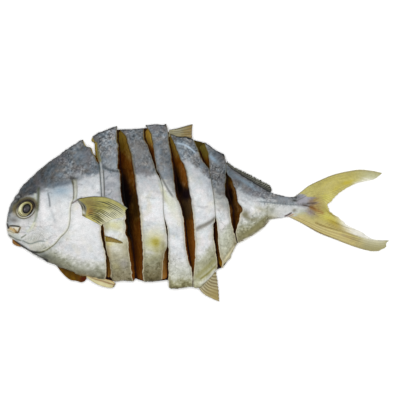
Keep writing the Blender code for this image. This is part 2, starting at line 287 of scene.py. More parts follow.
# %% Measured lips, belly to back
LIPS = {
    "gash_1": (
        [(82.5, -60.5), (83.2, -56), (83.3, -46), (82.6, -37.5), (80.9, -31.5), (79.5, -23.5), (78.8, -15.5),
         (79.4, 9), (78.6, 23), (77.4, 35), (75.9, 37.5), (74.3, 41.3), (71.3, 45.8), (69.8, 49.6), (65.7, 50.9),
         (63.8, 56.2)],
        [(87.2, -58.6), (87.2, -54), (86.4, -46), (83.9, -36), (82.3, -26), (81.4, -16), (79.7, -2), (79.8, 9),
         (79.4, 17.5), (78.9, 26), (78, 34), (76.6, 41), (75.9, 47.5), (75.4, 53), (73.2, 54.8), (71.6, 58.4)],
    ),
    "gash_2": (
        [(106, -62.2), (105, -59), (104.3, -52.6), (103.5, -46), (102.2, -36), (101.4, -27.5), (99.3, -21.7),
         (99.7, -16), (99.2, -12), (99.7, -8.3), (97.6, 2.5), (96.4, 5.8), (95.5, 14.2), (94.6, 31), (93, 32.6),
         (93, 51), (91.8, 56), (92.2, 63.4), (92.3, 67.6)],
        [(114.3, -61.8), (114.1, -52.6), (114.4, -40), (113.7, -27.5), (112.1, -5.4), (109, 16.3), (106.4, 32.5),
         (104.7, 43.4), (102.6, 50), (101, 56), (100, 58.4), (94.5, 64.7)],
    ),
    "gash_3": (
        [(129.9, -60.3), (129.9, -55.4), (130.8, -44.7), (132.3, -37.5), (134.2, -32.5), (134.3, -27.5),
         (133.3, -19.2), (131.6, -7.5), (131, -0.8), (130.6, 14.2), (128.9, 21.7), (124.7, 30), (123.5, 35),
         (121.4, 41), (117.2, 51.7), (114.7, 58.4), (114.7, 65.5)],
        [(135.5, -66.8), (135.4, -61), (135.3, -36), (134.7, -19.2), (132.1, -7.5), (131.4, -0.8), (131.1, 14.2),
         (129.3, 22.5), (125.4, 32.5), (124.3, 39.2), (123.1, 47.6), (122.2, 54.2), (120.9, 61), (116, 68)],
    ),
    "gash_4": (
        [(155.5, -66.9), (154.9, -55), (152.1, -45), (149.3, -30), (148.2, -16.7), (145.4, 0), (141.5, 9.2),
         (139.8, 22.5), (138.5, 32.5), (137.3, 43.4), (135.6, 53.4), (134.8, 63.8), (133.1, 69.4)],
        [(156.2, -67), (156.3, -55), (157.5, -42.6), (157.7, -31.7), (157.1, -19.2), (156, -5.8), (154.9, 5.8),
         (153.2, 13.4), (150.9, 26.7), (149.6, 32.5), (147.6, 36.4), (145, 41), (141.6, 50), (136.3, 61.3)],
    ),
    "gash_5": (
        [(175.2, -52.6), (176.1, -49.2), (175.6, -43.4), (173.9, -33.4), (172.8, -25), (172.6, -16), (174.4, -8),
         (173.3, 5.8), (171.1, 20), (168.6, 31.7), (164.8, 36.7), (161.9, 41.7), (159.8, 47.6), (158.1, 51.7),
         (155.2, 56.5)],
        [(179.8, -50.9), (180.2, -47.6), (178.1, -40), (176.9, -28.4), (176.1, -18.4), (175, -9), (173.8, 5.8),
         (171.7, 20), (169.6, 31.7), (169.4, 36.7), (169, 41.7), (167.3, 47.6), (165.3, 54)],
    ),
    "gash_6": (
        [(192.6, -30.4), (189.9, -21), (187.8, -13.4), (186.2, -3.3), (184.7, 5), (182.5, 10.3), (182.3, 17.5),
         (183.1, 27.5), (183, 38), (181.9, 43)],
        [(193.3, -29.8), (191.3, -21), (193.7, -13.4), (195.3, -6.7), (197.4, -2.5), (193.2, 5.5), (192.1, 13),
         (189.9, 17.8), (187.2, 24.7), (184.3, 27.5), (183.7, 32.5), (183.7, 36.7)],
    ),
}  # fmt: skip
print("gashes:", ", ".join(LIPS))

# %% [markdown]
# ## Inside a gash
# The knife went in askew, so the wall towards the head is steep and the one towards the tail slopes and shows
# its brown flesh. Where they meet is told by a share of the gap, from 0 under the lip towards the head to 1
# under the other. Below that lies the uncut web, about 6 mm of flesh on the far side's skin.

# %% Feet of the walls, and the floor
LEAN = {
    "gash_1": [(-61, 0.15), (57, 0.15)],
    "gash_2": [(-62, 0.34), (-36, 0.3), (-8, 0.14), (66, 0.12)],
    "gash_3": [(-61, 0.9), (-40, 0.85), (-30, 0.5), (20, 0.3), (35, 0.15), (68, 0.1)],
    "gash_4": [(-67, 0.3), (-30, 0.2), (0, 0.14), (67, 0.16)],
    "gash_5": [(-51, 0.15), (-8, 0.2), (30, 0.2), (56, 0.12)],
    "gash_6": [(-30, 0.4), (0, 0.3), (20, 0.25), (37, 0.3)],
}
WEB = 6.0
WEB_SHARE = 0.7  # of half the thickness, where the fish is too thin for that
FLOOR_WIDTH = 0.8
FLOOR_SHARE = 0.12  # of the gap, where the gash is too narrow for that
CLOSED, OPEN = 0.25, 1.6  # mm between the lips where a gash counts as closed, and as open
LEAST_GAP = 0.3  # mm between the lips that the walls reckon with, where they touch
SPLIT_ABOVE = 41.0  # here the first gash has split the rim, and runs right through
SPLIT_WALLS = (0.4, 2.2)  # and its walls are only this wide
RUN_OUT = (-0.5, 3.5)  # mm from the rim, over which a wall gets its full width


def web(x, y):
    """Thickness of the uncut flesh: WEB mm, or WEB_SHARE of half the fish where that is less."""
    return np.minimum(WEB, WEB_SHARE * half(x) * lens(across(x, y)))


def floor_of(x, y):
    """Height of the gashes' floors: the underside plus the web."""
    return underside(x, y) + web(x, y)


def lip_at(gash, side, y):
    """x of a lip at height y: side 0 is towards the head, 1 towards the tail."""
    x, height = np.array(LIPS[gash][side], float).T
    return np.interp(y, height, x)


def openness(gash, y):
    """0 where the lips are CLOSED mm apart or less, and 1 where they are OPEN mm apart."""
    return smooth(CLOSED, OPEN, lip_at(gash, 1, y) - lip_at(gash, 0, y))


def foot_at(gash, side, lip):
    """x of the foot of a wall whose lip has these (x, y): the share LEAN of the gap, half a floor to its side."""
    x, y = lip[:, 0], lip[:, 1]
    other = lip_at(gash, 1 - side, y)
    left, right = (x, other) if side == 0 else (other, x)
    gap = np.maximum(right - left, LEAST_GAP)
    deepest = left + straight(LEAN[gash], y) * gap
    floor = np.minimum(FLOOR_WIDTH, FLOOR_SHARE * gap) / 2
    foot = np.maximum(deepest - floor, left) if side == 0 else np.minimum(deepest + floor, right)
    if gash == "gash_1":
        narrow = np.minimum(foot, x + SPLIT_WALLS[0]) if side == 0 else np.maximum(foot, x - SPLIT_WALLS[1])
        foot = np.where(y > SPLIT_ABOVE, narrow, foot)
    inside = np.minimum(curve(BACK, x) - y, y - curve(BELLY, x))
    return x + (foot - x) * smooth(*RUN_OUT, inside)


print("second gash, half way up: lips at", lip_at("gash_2", 0, 0.0).round(1), lip_at("gash_2", 1, 0.0).round(1))

# %% [markdown]
# ## Colours
# The back is slate grey and the flank silver, with a dull yellow-grey hem along the belly. Cut flesh is brown
# and nearly black where blood has dried, and deep in the gashes it is painted darker as painted shade. The
# colours are mixed as they look on a screen and turned into light only at the end. They are a little darker than
# they look in the picture, because the studio light adds to them.

# %% Named colours, red green blue from 0 to 255
SILVER = (216, 218, 219)
WHITE_SKIN = (227, 226, 228)
SLATE_TONE = (-4, 0, 3)
SHEEN = (138, 158, 176)
PLUM = (104, 98, 102)
CREAM = (226, 215, 182)
FLESH = (108, 74, 38)
RUST = (108, 64, 28)
# the next colour is painted light on sloping gash walls that lie in the light
TAN = (120, 90, 50)
OLIVE_FLESH = (124, 104, 48)
# painted shade deep in the gashes
DEEP_SHADE = (44, 26, 11)
KHAKI = (190, 182, 112)
LIGHT = 1.24  # what the studio light adds
GLOSS = 0.014  # and what the gloss of the surface adds to any colour


def light_of(tint):
    """Screen colour to light, ((c + 0.055) / 1.055) to 2.4 and c / 12.92 near black, less GLOSS, over LIGHT."""
    c = np.clip(tint, 0, 255) / 255
    light = np.where(c > 0.04045, ((c + 0.055) / 1.055) ** 2.4, c / 12.92)
    return np.maximum(light - GLOSS, 0.15 * light) / LIGHT


print("silver reflects", light_of(np.array(SILVER, float)).round(2))

# %% [markdown]
# ## Lines and patches of the head and the body
# Each line has its points, how deep it is pressed into the skin, how wide it is, its colour and how strongly it
# is painted. A negative depth is a ridge. The head's lines serve both sides, so the unseen right side has the
# same face as the left. On the body, only the lines that have nothing to do with the knife are on both.

# %% Lines on the skin
HEAD_LINES = {
    "mouth_notch": ([(0.2, -13.4), (1.2, -16), (2.4, -18.4)], 0.9, 1.0, (26, 22, 14), 0.97),
    "snout_tip": ([(1.2, -8.6), (0.9, -11), (1.6, -13)], 0.3, 0.7, (84, 82, 74), 0.8),
    "mouth": ([(1.8, -16), (5, -15.7), (8, -15.9), (12.2, -16.6)], 0.8, 0.6, (50, 46, 36), 0.95),
    "gold_lip": ([(1.8, -17.2), (5, -18.8), (8.8, -21.4)], -0.3, 1.3, (194, 162, 100), 0.85),
    "maxilla_edge": ([(12.2, -16), (11.2, -18.6), (9.4, -21.4), (6.6, -21)], 0.5, 0.65, (92, 68, 30), 0.95),
    "maxilla_fold": ([(5.8, -17.4), (7.4, -19.3), (9.4, -20.8)], 0.3, 0.5, (134, 102, 52), 0.8),
    "lower_lip": ([(0.2, -20.7), (2.2, -20), (4.6, -20.9), (7, -22.2)], 0.3, 0.5, (158, 146, 104), 0.7),
    "jaw": ([(1.2, -22.8), (5.8, -25.5), (9, -27.1), (13.4, -28.2)], 0.5, 0.6, (106, 110, 98), 0.8),
    "jaw_cheek": ([(11.8, -27.6), (15.4, -29), (19.9, -30.7), (25, -29.3), (28.2, -28.4), (34, -28.8)], 0.5, 0.6,
                  (116, 126, 120), 0.75),
    "jaw_corner": ([(17.2, -22.8), (14.1, -24.8), (11.9, -26.1)], 0.4, 0.55, (112, 118, 102), 0.8),
    "temple": ([(27.4, 18), (27.0, 9), (26.5, 2), (25.6, -5)], 0.5, 1.3, (78, 84, 64), 0.85),
    "temple_low": ([(26.4, 0), (25.8, -6), (24.2, -11), (22.4, -14)], 0.3, 0.8, (132, 142, 124), 0.7),
    "temple_light": ([(24.0, 12), (24.2, 8), (23.6, 4)], -0.2, 0.8, (190, 196, 176), 0.7),
    "temple_foot": ([(24.2, -12), (21, -17.6), (16.4, -21.4)], -0.2, 0.9, (214, 220, 182), 0.5),
    "temple_foot_edge": ([(25.4, -12), (22, -18.4), (17.6, -22.6)], 0.1, 0.5, (184, 190, 176), 0.4),
    "fin_line": ([(54.4, 2.4), (57.5, 4.5), (60.2, 6.0), (64.5, 8.0)], 0.4, 0.6, (66, 50, 48), 0.85),
    "cheek_streak": ([(34.6, 12.8), (35.8, 8.4), (36.6, 3), (36.8, -1)], 0.4, 0.55, (92, 98, 102), 0.8),
    "cheek_streak_2": ([(34, 12.4), (36.6, 12.2), (39, 10.6)], 0.2, 0.5, (130, 136, 142), 0.5),
    "cheek_vein": ([(37.4, -1), (38.6, -6), (40.6, -11), (41, -15)], 0.2, 1.2, (176, 182, 186), 0.5),
    "cheek_vein_2": ([(44, 4), (46, -4), (46.4, -12)], 0.12, 0.9, (196, 200, 202), 0.4),
    # The three throat lines below, down to throat_wedge, are painted shadow in the crease at the lower end of the
    # gill opening.
    "throat": ([(4.6, -27.5), (12.2, -31.9), (18.3, -36.0), (24, -39.6)], 0.4, 0.95, (18, 15, 9), 1.0),
    "throat_arc": ([(19.6, -36.4), (23.4, -37.6), (28, -37.8), (33, -36.6)], 0.6, 0.8, (18, 20, 14), 0.97),
    "throat_wedge": ([(18.6, -36.4), (25, -40.1), (29.6, -42.5), (36, -45.6)], 0.5, 0.95, (8, 9, 7), 1.0),
    "throat_hem": ([(12, -33.2), (19, -37.0), (25, -40.6), (33, -44.4)], -0.2, 0.5, (206, 206, 198), 0.9),
    "nape": ([(36, 15), (44, 22), (56, 26.5), (66, 24)], 0.2, 1.6, (118, 122, 126), 0.3),
    "brow": ([(26.8, 11), (31, 17), (38, 24)], -0.2, 1.5, (136, 142, 148), 0.3),
}  # fmt: skip
GILL_EDGE = [
    (57.4, 8), (54.8, 3), (53.8, -3), (53.6, -9.5), (52.4, -16.7), (49.4, -21.4), (46, -24.6), (40.9, -30.6),
    (34.6, -35.2), (29.8, -37.4), (24, -38.6),
]  # fmt: skip
GILL_SLIT = [(56.4, 23.6), (57.7, 19), (58.1, 13), (57.6, 5.5)]
KNIFE_MARK = [(80.4, -26.0), (88.9, -27.4), (97.4, -30)]
BODY_LINES = {
    "strip_crease": ([(79.4, 36), (83, 32.4), (89, 30.4), (95.8, 29.4)], 0.6, 1.0, (74, 80, 84), 0.9),
    "first_pale": ([(77.2, 46), (79.2, 34), (80.4, 22), (81, 7)], -0.1, 0.5, (196, 198, 192), 0.7),
    # The next line is painted shadow along a crease where the skin of the first strip rises.
    "first_crease_shadow": ([(80.6, 34), (81.6, 24), (82.0, 14), (81.8, 6)], 0.4, 0.4, (84, 86, 78), 0.85),
    "first_olive": ([(75.2, 52), (76.4, 46), (77.8, 41), (79.4, 36.5)], 0, 1.0, (116, 112, 66), 0.8),
    "strip_3_fold": ([(124.4, 33), (126.6, 28.6), (130.3, 22.8), (135.4, 13.9), (140.6, 6.6)], 0.5, 0.8,
                     (100, 102, 100), 0.8),
    "strip_3_slant": ([(127, 21), (130, 12), (134, 2)], 0.2, 0.9, (180, 178, 156), 0.5),
    "strip_4_wrinkle": ([(175.4, -7.5), (171, -12), (166, -14.8), (161, -17), (156.8, -20.4)], 1.0, 1.4,
                        (118, 114, 104), 0.85),
    "strip_4_sheen": ([(140.6, 53.6), (145, 52.8), (148, 52), (152.5, 49.6), (159, 44)], -0.2, 0.75,
                      (186, 204, 220), 0.85),
    "strip_4_shade": ([(141.6, 49.6), (147, 48.6), (151.4, 46.6), (157, 41)], 0.2, 0.8, (92, 98, 104), 0.5),
    "strip_4_shade_up": ([(141, 57), (148, 55.6), (154, 52.6), (158.4, 49.6)], 0, 0.8, (80, 86, 92), 0.6),
    "strip_4_olive": ([(176, -42), (169.5, -48.5), (163, -54.2), (156.6, -60.6)], 0.2, 1.9, (152, 148, 96), 0.75),
    "strip_4_gold": ([(176, -47.6), (168.1, -55.4), (160.5, -60.9)], 0.2, 0.8, (128, 120, 54), 0.75),
    "strip_4_hem": ([(175, -51), (170.8, -57), (166, -61.6), (159.5, -65.2)], -0.2, 1.2, (224, 224, 214), 0.85),
    "strip_4_dent": ([(159, 0.8), (165, -0.5), (169, 1)], 0.3, 0.8, (176, 176, 178), 0.7),
    "strip_4_low": ([(158, -46), (164, -48), (172, -42)], 0.3, 1.2, (160, 158, 128), 0.6),
    "strip_5_dent": ([(174.6, 14.8), (179, 14), (184, 15.8)], 0.3, 0.8, (100, 104, 106), 0.7),
    "strip_5_dent_2": ([(173.6, 8), (178, 7), (181, 8.6)], 0.25, 0.7, (124, 128, 130), 0.6),
    "strip_2_scratch": ([(115, 8.4), (121, 7.4), (125, 7)], 0.15, 0.45, (166, 168, 170), 0.7),
    "fin_base": ([(191.6, -31), (186, -38.6), (181, -46), (179.4, -49)], 0.5, 0.6, (222, 214, 176), 0.8),
    "fin_base_dark": ([(190.2, -30.6), (184.6, -38), (179.6, -45.6)], 0.3, 0.5, (150, 144, 112), 0.5),
    "scutes": ([(208, 4.8), (220, 3.5), (234, 2.3), (244, 1.6), (249, 1.1)], -0.45, 0.6, (112, 120, 124), 0.75),
    "tail_fold": ([(204, -10), (212, -6.5), (222, -5.5), (232, -6.5)], 0.3, 1.6, (196, 198, 190), 0.4),
    "tail_hollow": ([(195.6, -4), (200, -8), (205, -10.6), (211, -9)], 0.5, 1.4, (126, 122, 92), 0.65),
    "hem_fold": ([(196.5, -24), (205, -18.6), (212, -12.6), (217.5, -7.6)], 0.3, 1.0, (132, 128, 88), 0.6),
}
KNIFE_MADE = ("first_", "second_", "third_", "fourth_", "fifth_", "strip_", "yellow_left", "yellow_right",
              "yellow_side")  # fmt: skip


def uncut(marks):
    """The marks that the far side has too, which are those whose name doesn't start like a knife-made one."""
    return {name: mark for name, mark in marks.items() if not name.startswith(KNIFE_MADE)}


print(len(HEAD_LINES), "lines on the head,", len(BODY_LINES), "on the body,", len(uncut(BODY_LINES)), "on both sides")

# %% [markdown]
# Patches are softer: a centre, two radii, a turn in degrees, a height in mm, a colour and a strength.

# %% Patches on the skin
HEAD_PATCHES = {
    "nostril_field": ((7.0, -2.0), (2.1, 4.8), 4, -0.3, (116, 102, 62), 0.85),
    "nostril_gap": ((9.5, -3.2), (0.8, 2.6), 0, 0.1, (160, 160, 146), 0.5),
    "snout": ((3.6, -9.8), (5, 3.6), 0, 0.3, (150, 152, 150), 0.8),
    "snout_shade": ((7.5, -11.4), (3.8, 1.8), -14, 0, (112, 108, 104), 0.75),
    "cheek_shade": ((20, -10.5), (3.6, 1.8), 30, 0, (150, 152, 148), 0.6),
    "under_eye": ((15, -12.6), (7, 2.6), 10, 0.2, (206, 206, 206), 0.7),
    "maxilla": ((8.5, -17.9), (1.6, 1.1), -10, 0.5, (238, 224, 190), 0.95),
    "lip_front": ((0.9, -19.2), (1.2, 0.8), 0, 0.2, (224, 204, 158), 0.8),
    "lip_front_low": ((3.4, -21.9), (2.2, 0.7), -20, 0.3, (216, 210, 182), 0.8),
    "chin": ((8, -24.4), (5, 1.4), -28, 0.2, (186, 196, 184), 0.6),
    "chin_front": ((2.4, -24), (2.4, 1.4), -40, 0, (150, 148, 140), 0.5),
    "temple_olive": ((24.4, -4), (1.8, 6), 8, -0.2, (122, 122, 98), 0.55),
    "cheek_white": ((31.4, -3), (3.3, 14), 3, 0.5, (235, 233, 234), 0.85),
    "cheek_top": ((31.6, 9.6), (2.2, 4), 0, 0.1, (190, 192, 198), 0.5),
    "blue_patch": ((46, 13.6), (8, 4.2), 8, 0, (142, 164, 180), 0.9),
    "blue_edge": ((45, 19), (11, 2.2), 6, 0, (100, 114, 128), 0.7),
    "blue_low": ((38, 5), (5, 5), 0, 0, (196, 202, 206), 0.6),
    "gill_top": ((50, 2), (5, 7), 0, 0.3, (216, 224, 226), 0.5),
    "gill_plate": ((45, -12), (7.5, 13), 0, 0.5, (221, 220, 220), 0.7),
    "wrinkles": ((22.5, -25.5), (9, 3), 8, 0.1, (190, 192, 182), 0.6),
    "wrinkles_cheek": ((30, -22), (7, 5), 10, 0.2, (206, 206, 200), 0.5),
    "throat_field": ((26, -34), (12, 2.6), -30, 0.2, (204, 204, 194), 0.5),
    "gill_dark": ((55.6, 23.6), (2.6, 1.6), -20, -0.9, (40, 38, 34), 0.95),
    "gill_dark_low": ((56.4, 20.6), (1.1, 2.4), 8, -0.4, (64, 62, 46), 0.85),
    "gill_shadow": ((51, 20.6), (7, 2), 10, -0.2, (86, 94, 102), 0.7),
    "shoulder_light": ((67, 12), (8, 6), 0, 0.2, (212, 214, 216), 0.5),
    "shoulder_streak": ((66, 22), (9, 1.4), -35, 0, (168, 174, 180), 0.6),
    "breast": ((66, -24), (14, 22), 0, 0, (229, 229, 229), 0.75),
    "belly_shade": ((37, -42.6), (9, 3.2), -28, 0, (122, 124, 110), 0.8),
    "belly_shade_2": ((50, -50), (10, 2.2), -24, 0, (146, 146, 126), 0.6),
    "belly_shade_3": ((70, -54.2), (7, 2.2), -8, 0, (142, 140, 122), 0.7),
    "belly_orange": ((66, -57.6), (7, 1.2), -12, 0, (150, 118, 66), 0.6),
    # The isthmus patch is painted shadow beside the throat lines.
    "isthmus": ((31, -40), (5.4, 1.8), -26, -0.3, (84, 88, 80), 0.85),
}
BODY_PATCHES = {
    "yellow_halo": ((123, -27), (8, 8), 0, 0, (204, 202, 150), 0.6),
    "yellow_side": ((116.4, -25), (2.2, 6), 0, 0, (176, 178, 156), 0.6),
    "yellow_stain": ((123.4, -29), (5.4, 3.4), 10, 0.2, (176, 166, 76), 0.85),
    "yellow_heart": ((125, -30), (2.7, 3.4), 20, 0.1, (156, 143, 28), 0.85),
    "yellow_left": ((118, -30), (3.4, 3.2), 0, 0, (174, 174, 128), 0.75),
    "yellow_right": ((130.8, -32.5), (2.4, 5), 0, 0, (138, 134, 90), 0.8),
    "yellow_tail": ((125.2, -36.6), (3, 4.4), 0, 0, (158, 152, 98), 0.7),
    "second_band": ((121, -44), (7, 1.8), 12, -0.2, (156, 152, 118), 0.7),
    "second_band_2": ((120, -38), (6, 1.4), -8, 0.2, (206, 206, 202), 0.6),
    "first_yellow": ((90, -15.5), (8, 3.8), -20, 0.2, (203, 199, 142), 0.8),
    "first_yellow_left": ((84, -16), (2.4, 4), 0, 0, (174, 171, 126), 0.8),
    "first_olive_right": ((99, -35), (3.2, 5.5), 0, 0, (158, 152, 120), 0.75),
    "first_white": ((92, -35), (6, 2.6), -10, 0.3, (213, 211, 200), 0.8),
    "first_gold": ((84.6, -30.6), (3.6, 1.8), 0, 0, (196, 186, 108), 0.8),
    "first_band": ((93, -41.6), (8, 1.5), 14, -0.2, (158, 152, 122), 0.8),
    "first_gold_2": ((92, -50), (5, 3.4), -20, 0.1, (160, 152, 104), 0.6),
    "first_cream": ((95, -40), (4, 2.2), 20, 0.2, (196, 194, 176), 0.6),
    "first_mauve": ((98, -47), (3.6, 4.6), 0, 0, (164, 160, 158), 0.6),
    "first_olive_low": ((96, -13), (4, 3), 0, 0, (196, 200, 158), 0.6),
    "first_lip": ((84.8, -40), (2.2, 9), 0, 0, (172, 150, 104), 0.75),
    "second_tan": ((131.4, -50), (2.4, 12), 0, 0, (140, 118, 74), 0.8),
    "second_mauve": ((112, 47), (8, 12), 0, 0, (114, 111, 108), 0.6),
    "third_band": ((132.6, 10), (2.0, 10), 22, 0, (196, 200, 166), 0.75),
    "third_band_low": ((138.6, 3), (2.4, 7), 14, 0, (196, 201, 176), 0.7),
    "third_grey": ((137.6, 18.5), (3.4, 7.5), 24, 0, (144, 146, 146), 0.95),
    "third_dark": ((136.5, 27), (2.6, 5), 10, 0, (98, 98, 100), 0.5),
    "fourth_sheen": ((149, 51.4), (8, 1.6), -16, 0.2, (132, 148, 162), 0.5),
    "fifth_sheen": ((172, 40.5), (6, 1.9), -42, 0.3, (140, 164, 184), 0.9),
    "fifth_grey": ((178.4, 15), (4.6, 4), 0, 0, (148, 151, 152), 0.75),
    "third_low": ((138.6, -3), (3, 9), 14, 0, (210, 212, 198), 0.6),
    "fourth_hollow": ((163, -17), (8, 2.4), 30, -0.3, (182, 180, 170), 0.6),
    "fourth_swell": ((167, -2), (6, 6), 0, 0.5, WHITE_SKIN, 0.6),
    "fifth_band": ((186.4, -41), (1.9, 10), -34, 0.2, (192, 184, 150), 0.85),
    "fifth_tip": ((178.8, -51.4), (1.9, 1.8), 0, 0, (180, 118, 36), 0.9),
    "fifth_lip": ((180, -44), (1.6, 5), 0, 0, (206, 190, 148), 0.6),
    "tail_sheen": ((199, 21), (14, 1.9), -33, 0.2, (128, 148, 162), 0.8),
    "tail_mid_grey": ((201, 10), (10, 3.2), -24, 0, (146, 152, 158), 0.5),
    "tail_light": ((203, 1), (9, 2.6), -8, 0.2, (216, 218, 218), 0.6),
    "tail_dimple": ((199.6, -6.4), (3.2, 3.4), 30, -0.6, (116, 110, 80), 0.8),
    "tail_olive": ((214, -2.6), (6, 1.8), -24, 0, (150, 148, 120), 0.6),
    "tail_hem": ((206, -19.6), (13, 2.4), 33, 0, (144, 138, 98), 0.85),
    "wrist_pale": ((232, 6.5), (9, 1.8), -6, 0, (148, 154, 160), 0.75),
    "wrist_white": ((230, -2.8), (10, 3.2), 0, 0.1, (212, 213, 210), 0.85),
    "wrist_olive": ((221.4, -2), (2.6, 1.6), -10, 0, (132, 134, 122), 0.7),
    "wrist_spot": ((240.9, 5.3), (2.3, 0.9), -6, 0, (44, 46, 42), 0.9),
    "wrist_spot_low": ((240.4, -2.9), (1.8, 1.5), 20, 0, (98, 90, 74), 0.75),
    "wrist_ring": ((244.4, 1.4), (1.6, 1.5), 0, 0.2, (196, 196, 196), 0.7),
}
print(len(HEAD_PATCHES), "patches on the head and", len(BODY_PATCHES), "on the body")

# %% [markdown]
# ## The eye's socket
# The eye has shrunk in drying. Its oval leans back, under a dark brown lid with an olive ring above it. Below it
# a pale fold of skin shows, with a thin dark line under that.

# %% Socket and marks, as height and colour
EYE = (16.5, -1.7)
EYE_RADII = (7.1, 5.7)
EYE_TURN = 40
PUPIL = (17.2, -1.5)
PUPIL_RADII = (4.1, 3.1)
PUPIL_TURN = 62
SOCKET_DEPTH = 1.3


def add_marks(x, y, height, tint, lines, patches):
    """Patches, then lines: each adds its height times its mask, and lays its colour by strength times its mask."""
    for centre, radii, turn, rise, colour, strength in patches.values():
        mask = spot(x, y, centre, radii, turn)
        height = height + rise * mask
        tint = lay(tint, colour, strength * mask)
    for points, depth, width, colour, strength in lines.values():
        distance, share = beside(x, y, points)
        mask = ring(distance, 0, width) * smooth(0, 0.15, share) * smooth(0, 0.15, 1 - share)
        height = height - depth * mask
        tint = lay(tint, colour, strength * mask)
    return height, tint


def add_socket(x, y, height, tint):
    """A bowl inside the eye's oval; rings round it, the lid's where (y - centre) / distance is above 0."""
    r = oval(x, y, EYE, EYE_RADII, EYE_TURN)
    rise = (y - EYE[1]) / np.maximum(np.hypot(x - EYE[0], y - EYE[1]), 0.1)
    over, under = smooth(-0.25, 0.4, rise), smooth(0.1, -0.4, rise)
    height = height - SOCKET_DEPTH * (1 - smooth(0.85, 1.12, r)) + 0.5 * ring(r, 1.3, 0.14) * over
    height = height + 0.35 * ring(r, 1.13, 0.07) * under - 0.3 * ring(r, 1.26, 0.05) * under
    tint = layers(
        tint,
        ((88, 80, 50), 0.85 * ring(r, 1.42, 0.22) * (0.35 + 0.65 * over) * (1 - 0.75 * under)),
        ((30, 20, 14), 0.97 * ring(r, 1.16, 0.17) * over),
        ((70, 62, 42), 0.85 * ring(r, 1.26, 0.08) * under),
        ((206, 200, 164), 0.85 * ring(r, 1.13, 0.06) * under * smooth(20, 14, x)),
    )
    return height, lay(tint, (50, 42, 28), 1 - smooth(0.98, 1.08, r))


def add_gill_cover(x, y, height, tint):
    """The cover stands 0.8 mm above the breast and fades over 9 mm; a dark line and a pale hem follow its edge."""
    distance, share = beside(x, y, GILL_EDGE)
    ends = smooth(0, 0.05, share) * smooth(0, 0.1, 1 - share)
    cover = smooth(0.4, -0.4, distance) * np.exp(distance.clip(-FAR, 0) / 9)
    height = height + ends * (0.8 * cover - 0.3 * ring(distance, 0.7, 0.8))
    low = smooth(0.35, 0.8, share)
    tint = layers(
        tint,
        ((178, 182, 178), (0.25 + 0.3 * low) * ends * ring(distance, 1.6, 1.5)),
        ((218, 218, 194), 0.5 * ends * ring(distance, -0.9, 0.6)),
        ((112, 110, 78), (0.5 + 0.4 * low) * ends * ring(distance, 0.1, 0.42)),
    )
    distance, share = beside(x, y, GILL_SLIT)
    ends = smooth(0, 0.1, share) * smooth(0, 0.1, 1 - share)
    width = 1.5 - 0.6 * share
    slit = ring(distance / width, 0, 0.8) * ends
    tint = layers(
        tint,
        ((184, 184, 164), 0.75 * slit),
        ((74, 70, 46), 0.95 * ring(distance, -1.3 * width, 0.5) * ends),
        ((126, 126, 104), 0.6 * ring(distance, 1.2 * width, 0.42) * ends),
    )
    return height - 0.4 * slit, tint


def add_knife_mark(x, y, height, tint):
    """A shallow cut 2.3 mm to each side of its path, running out to nothing, darker above and half way along."""
    distance, share = beside(x, y, KNIFE_MARK)
    width = 2.5 * (1 - share) ** 0.6 + 0.15
    open_part = smooth(1.1, 0.75, np.abs(distance) / width) * smooth(0, 0.02, 1 - share)
    tint = layers(
        tint,
        ((222, 214, 170), 0.7 * ring(distance / width, -1.25, 0.25)),
        ((132, 108, 20), open_part),
        ((122, 104, 50), 0.7 * open_part * smooth(0.5, 0.9, share)),
        ((84, 62, 16), 0.85 * open_part * smooth(0.35, 1.0, distance / width)),
    )
    return height - 1.4 * open_part, tint


print("radii of the eye and of its pupil in mm:", EYE_RADII, PUPIL_RADII)

# %% [markdown]
# ## The skin's own colour
# Each piece has its own border between slate and silver, because the gashes have pulled the pieces apart, and
# its own depth of the hem along the belly. Blotches, fine grain and short streaks break up every tone.

# %% Belly and back of each strip, between the ends of its lips
BETWEEN_LIPS = {
    "strip_1": ([(90.5, -62.2), (98, -61.7)], [(78, 62.2), (84.7, 64.7)]),
    "strip_2": ([(119.7, -62.6), (126.4, -61.8)], [(103.1, 64.9)]),
    "strip_3": ([(137.3, -67.9), (141.4, -68.4), (149.8, -66.8)], [(124.7, 69.1), (130.6, 68.4)]),
    "strip_4": ([(159.8, -68), (166.5, -63)], [(143.1, 58.8), (149.8, 58.4)]),
    "strip_5": ([(186.2, -42.6)], [(173.1, 48.4)]),
}
print("strips:", ", ".join(BETWEEN_LIPS))


def stretch(name, end):
    """A strip's own stretch of belly, end 0, or of back, end -1, from the one lip to the other."""
    number = int(name[-1])
    return [LIPS[f"gash_{number}"][1][end], *BETWEEN_LIPS[name][end], LIPS[f"gash_{number + 1}"][0][end]]


def back_of(name, x):
    """Height of the back at x: that of the strip's own stretch, or of the whole outline for the other pieces."""
    return straight(stretch(name, -1), x) if name in BETWEEN_LIPS else curve(BACK, x)

# %% [markdown]
# The pieces between the gashes have dried differently. Each has its own border between slate and silver, its own
# grey along the back and its own tones above the belly.

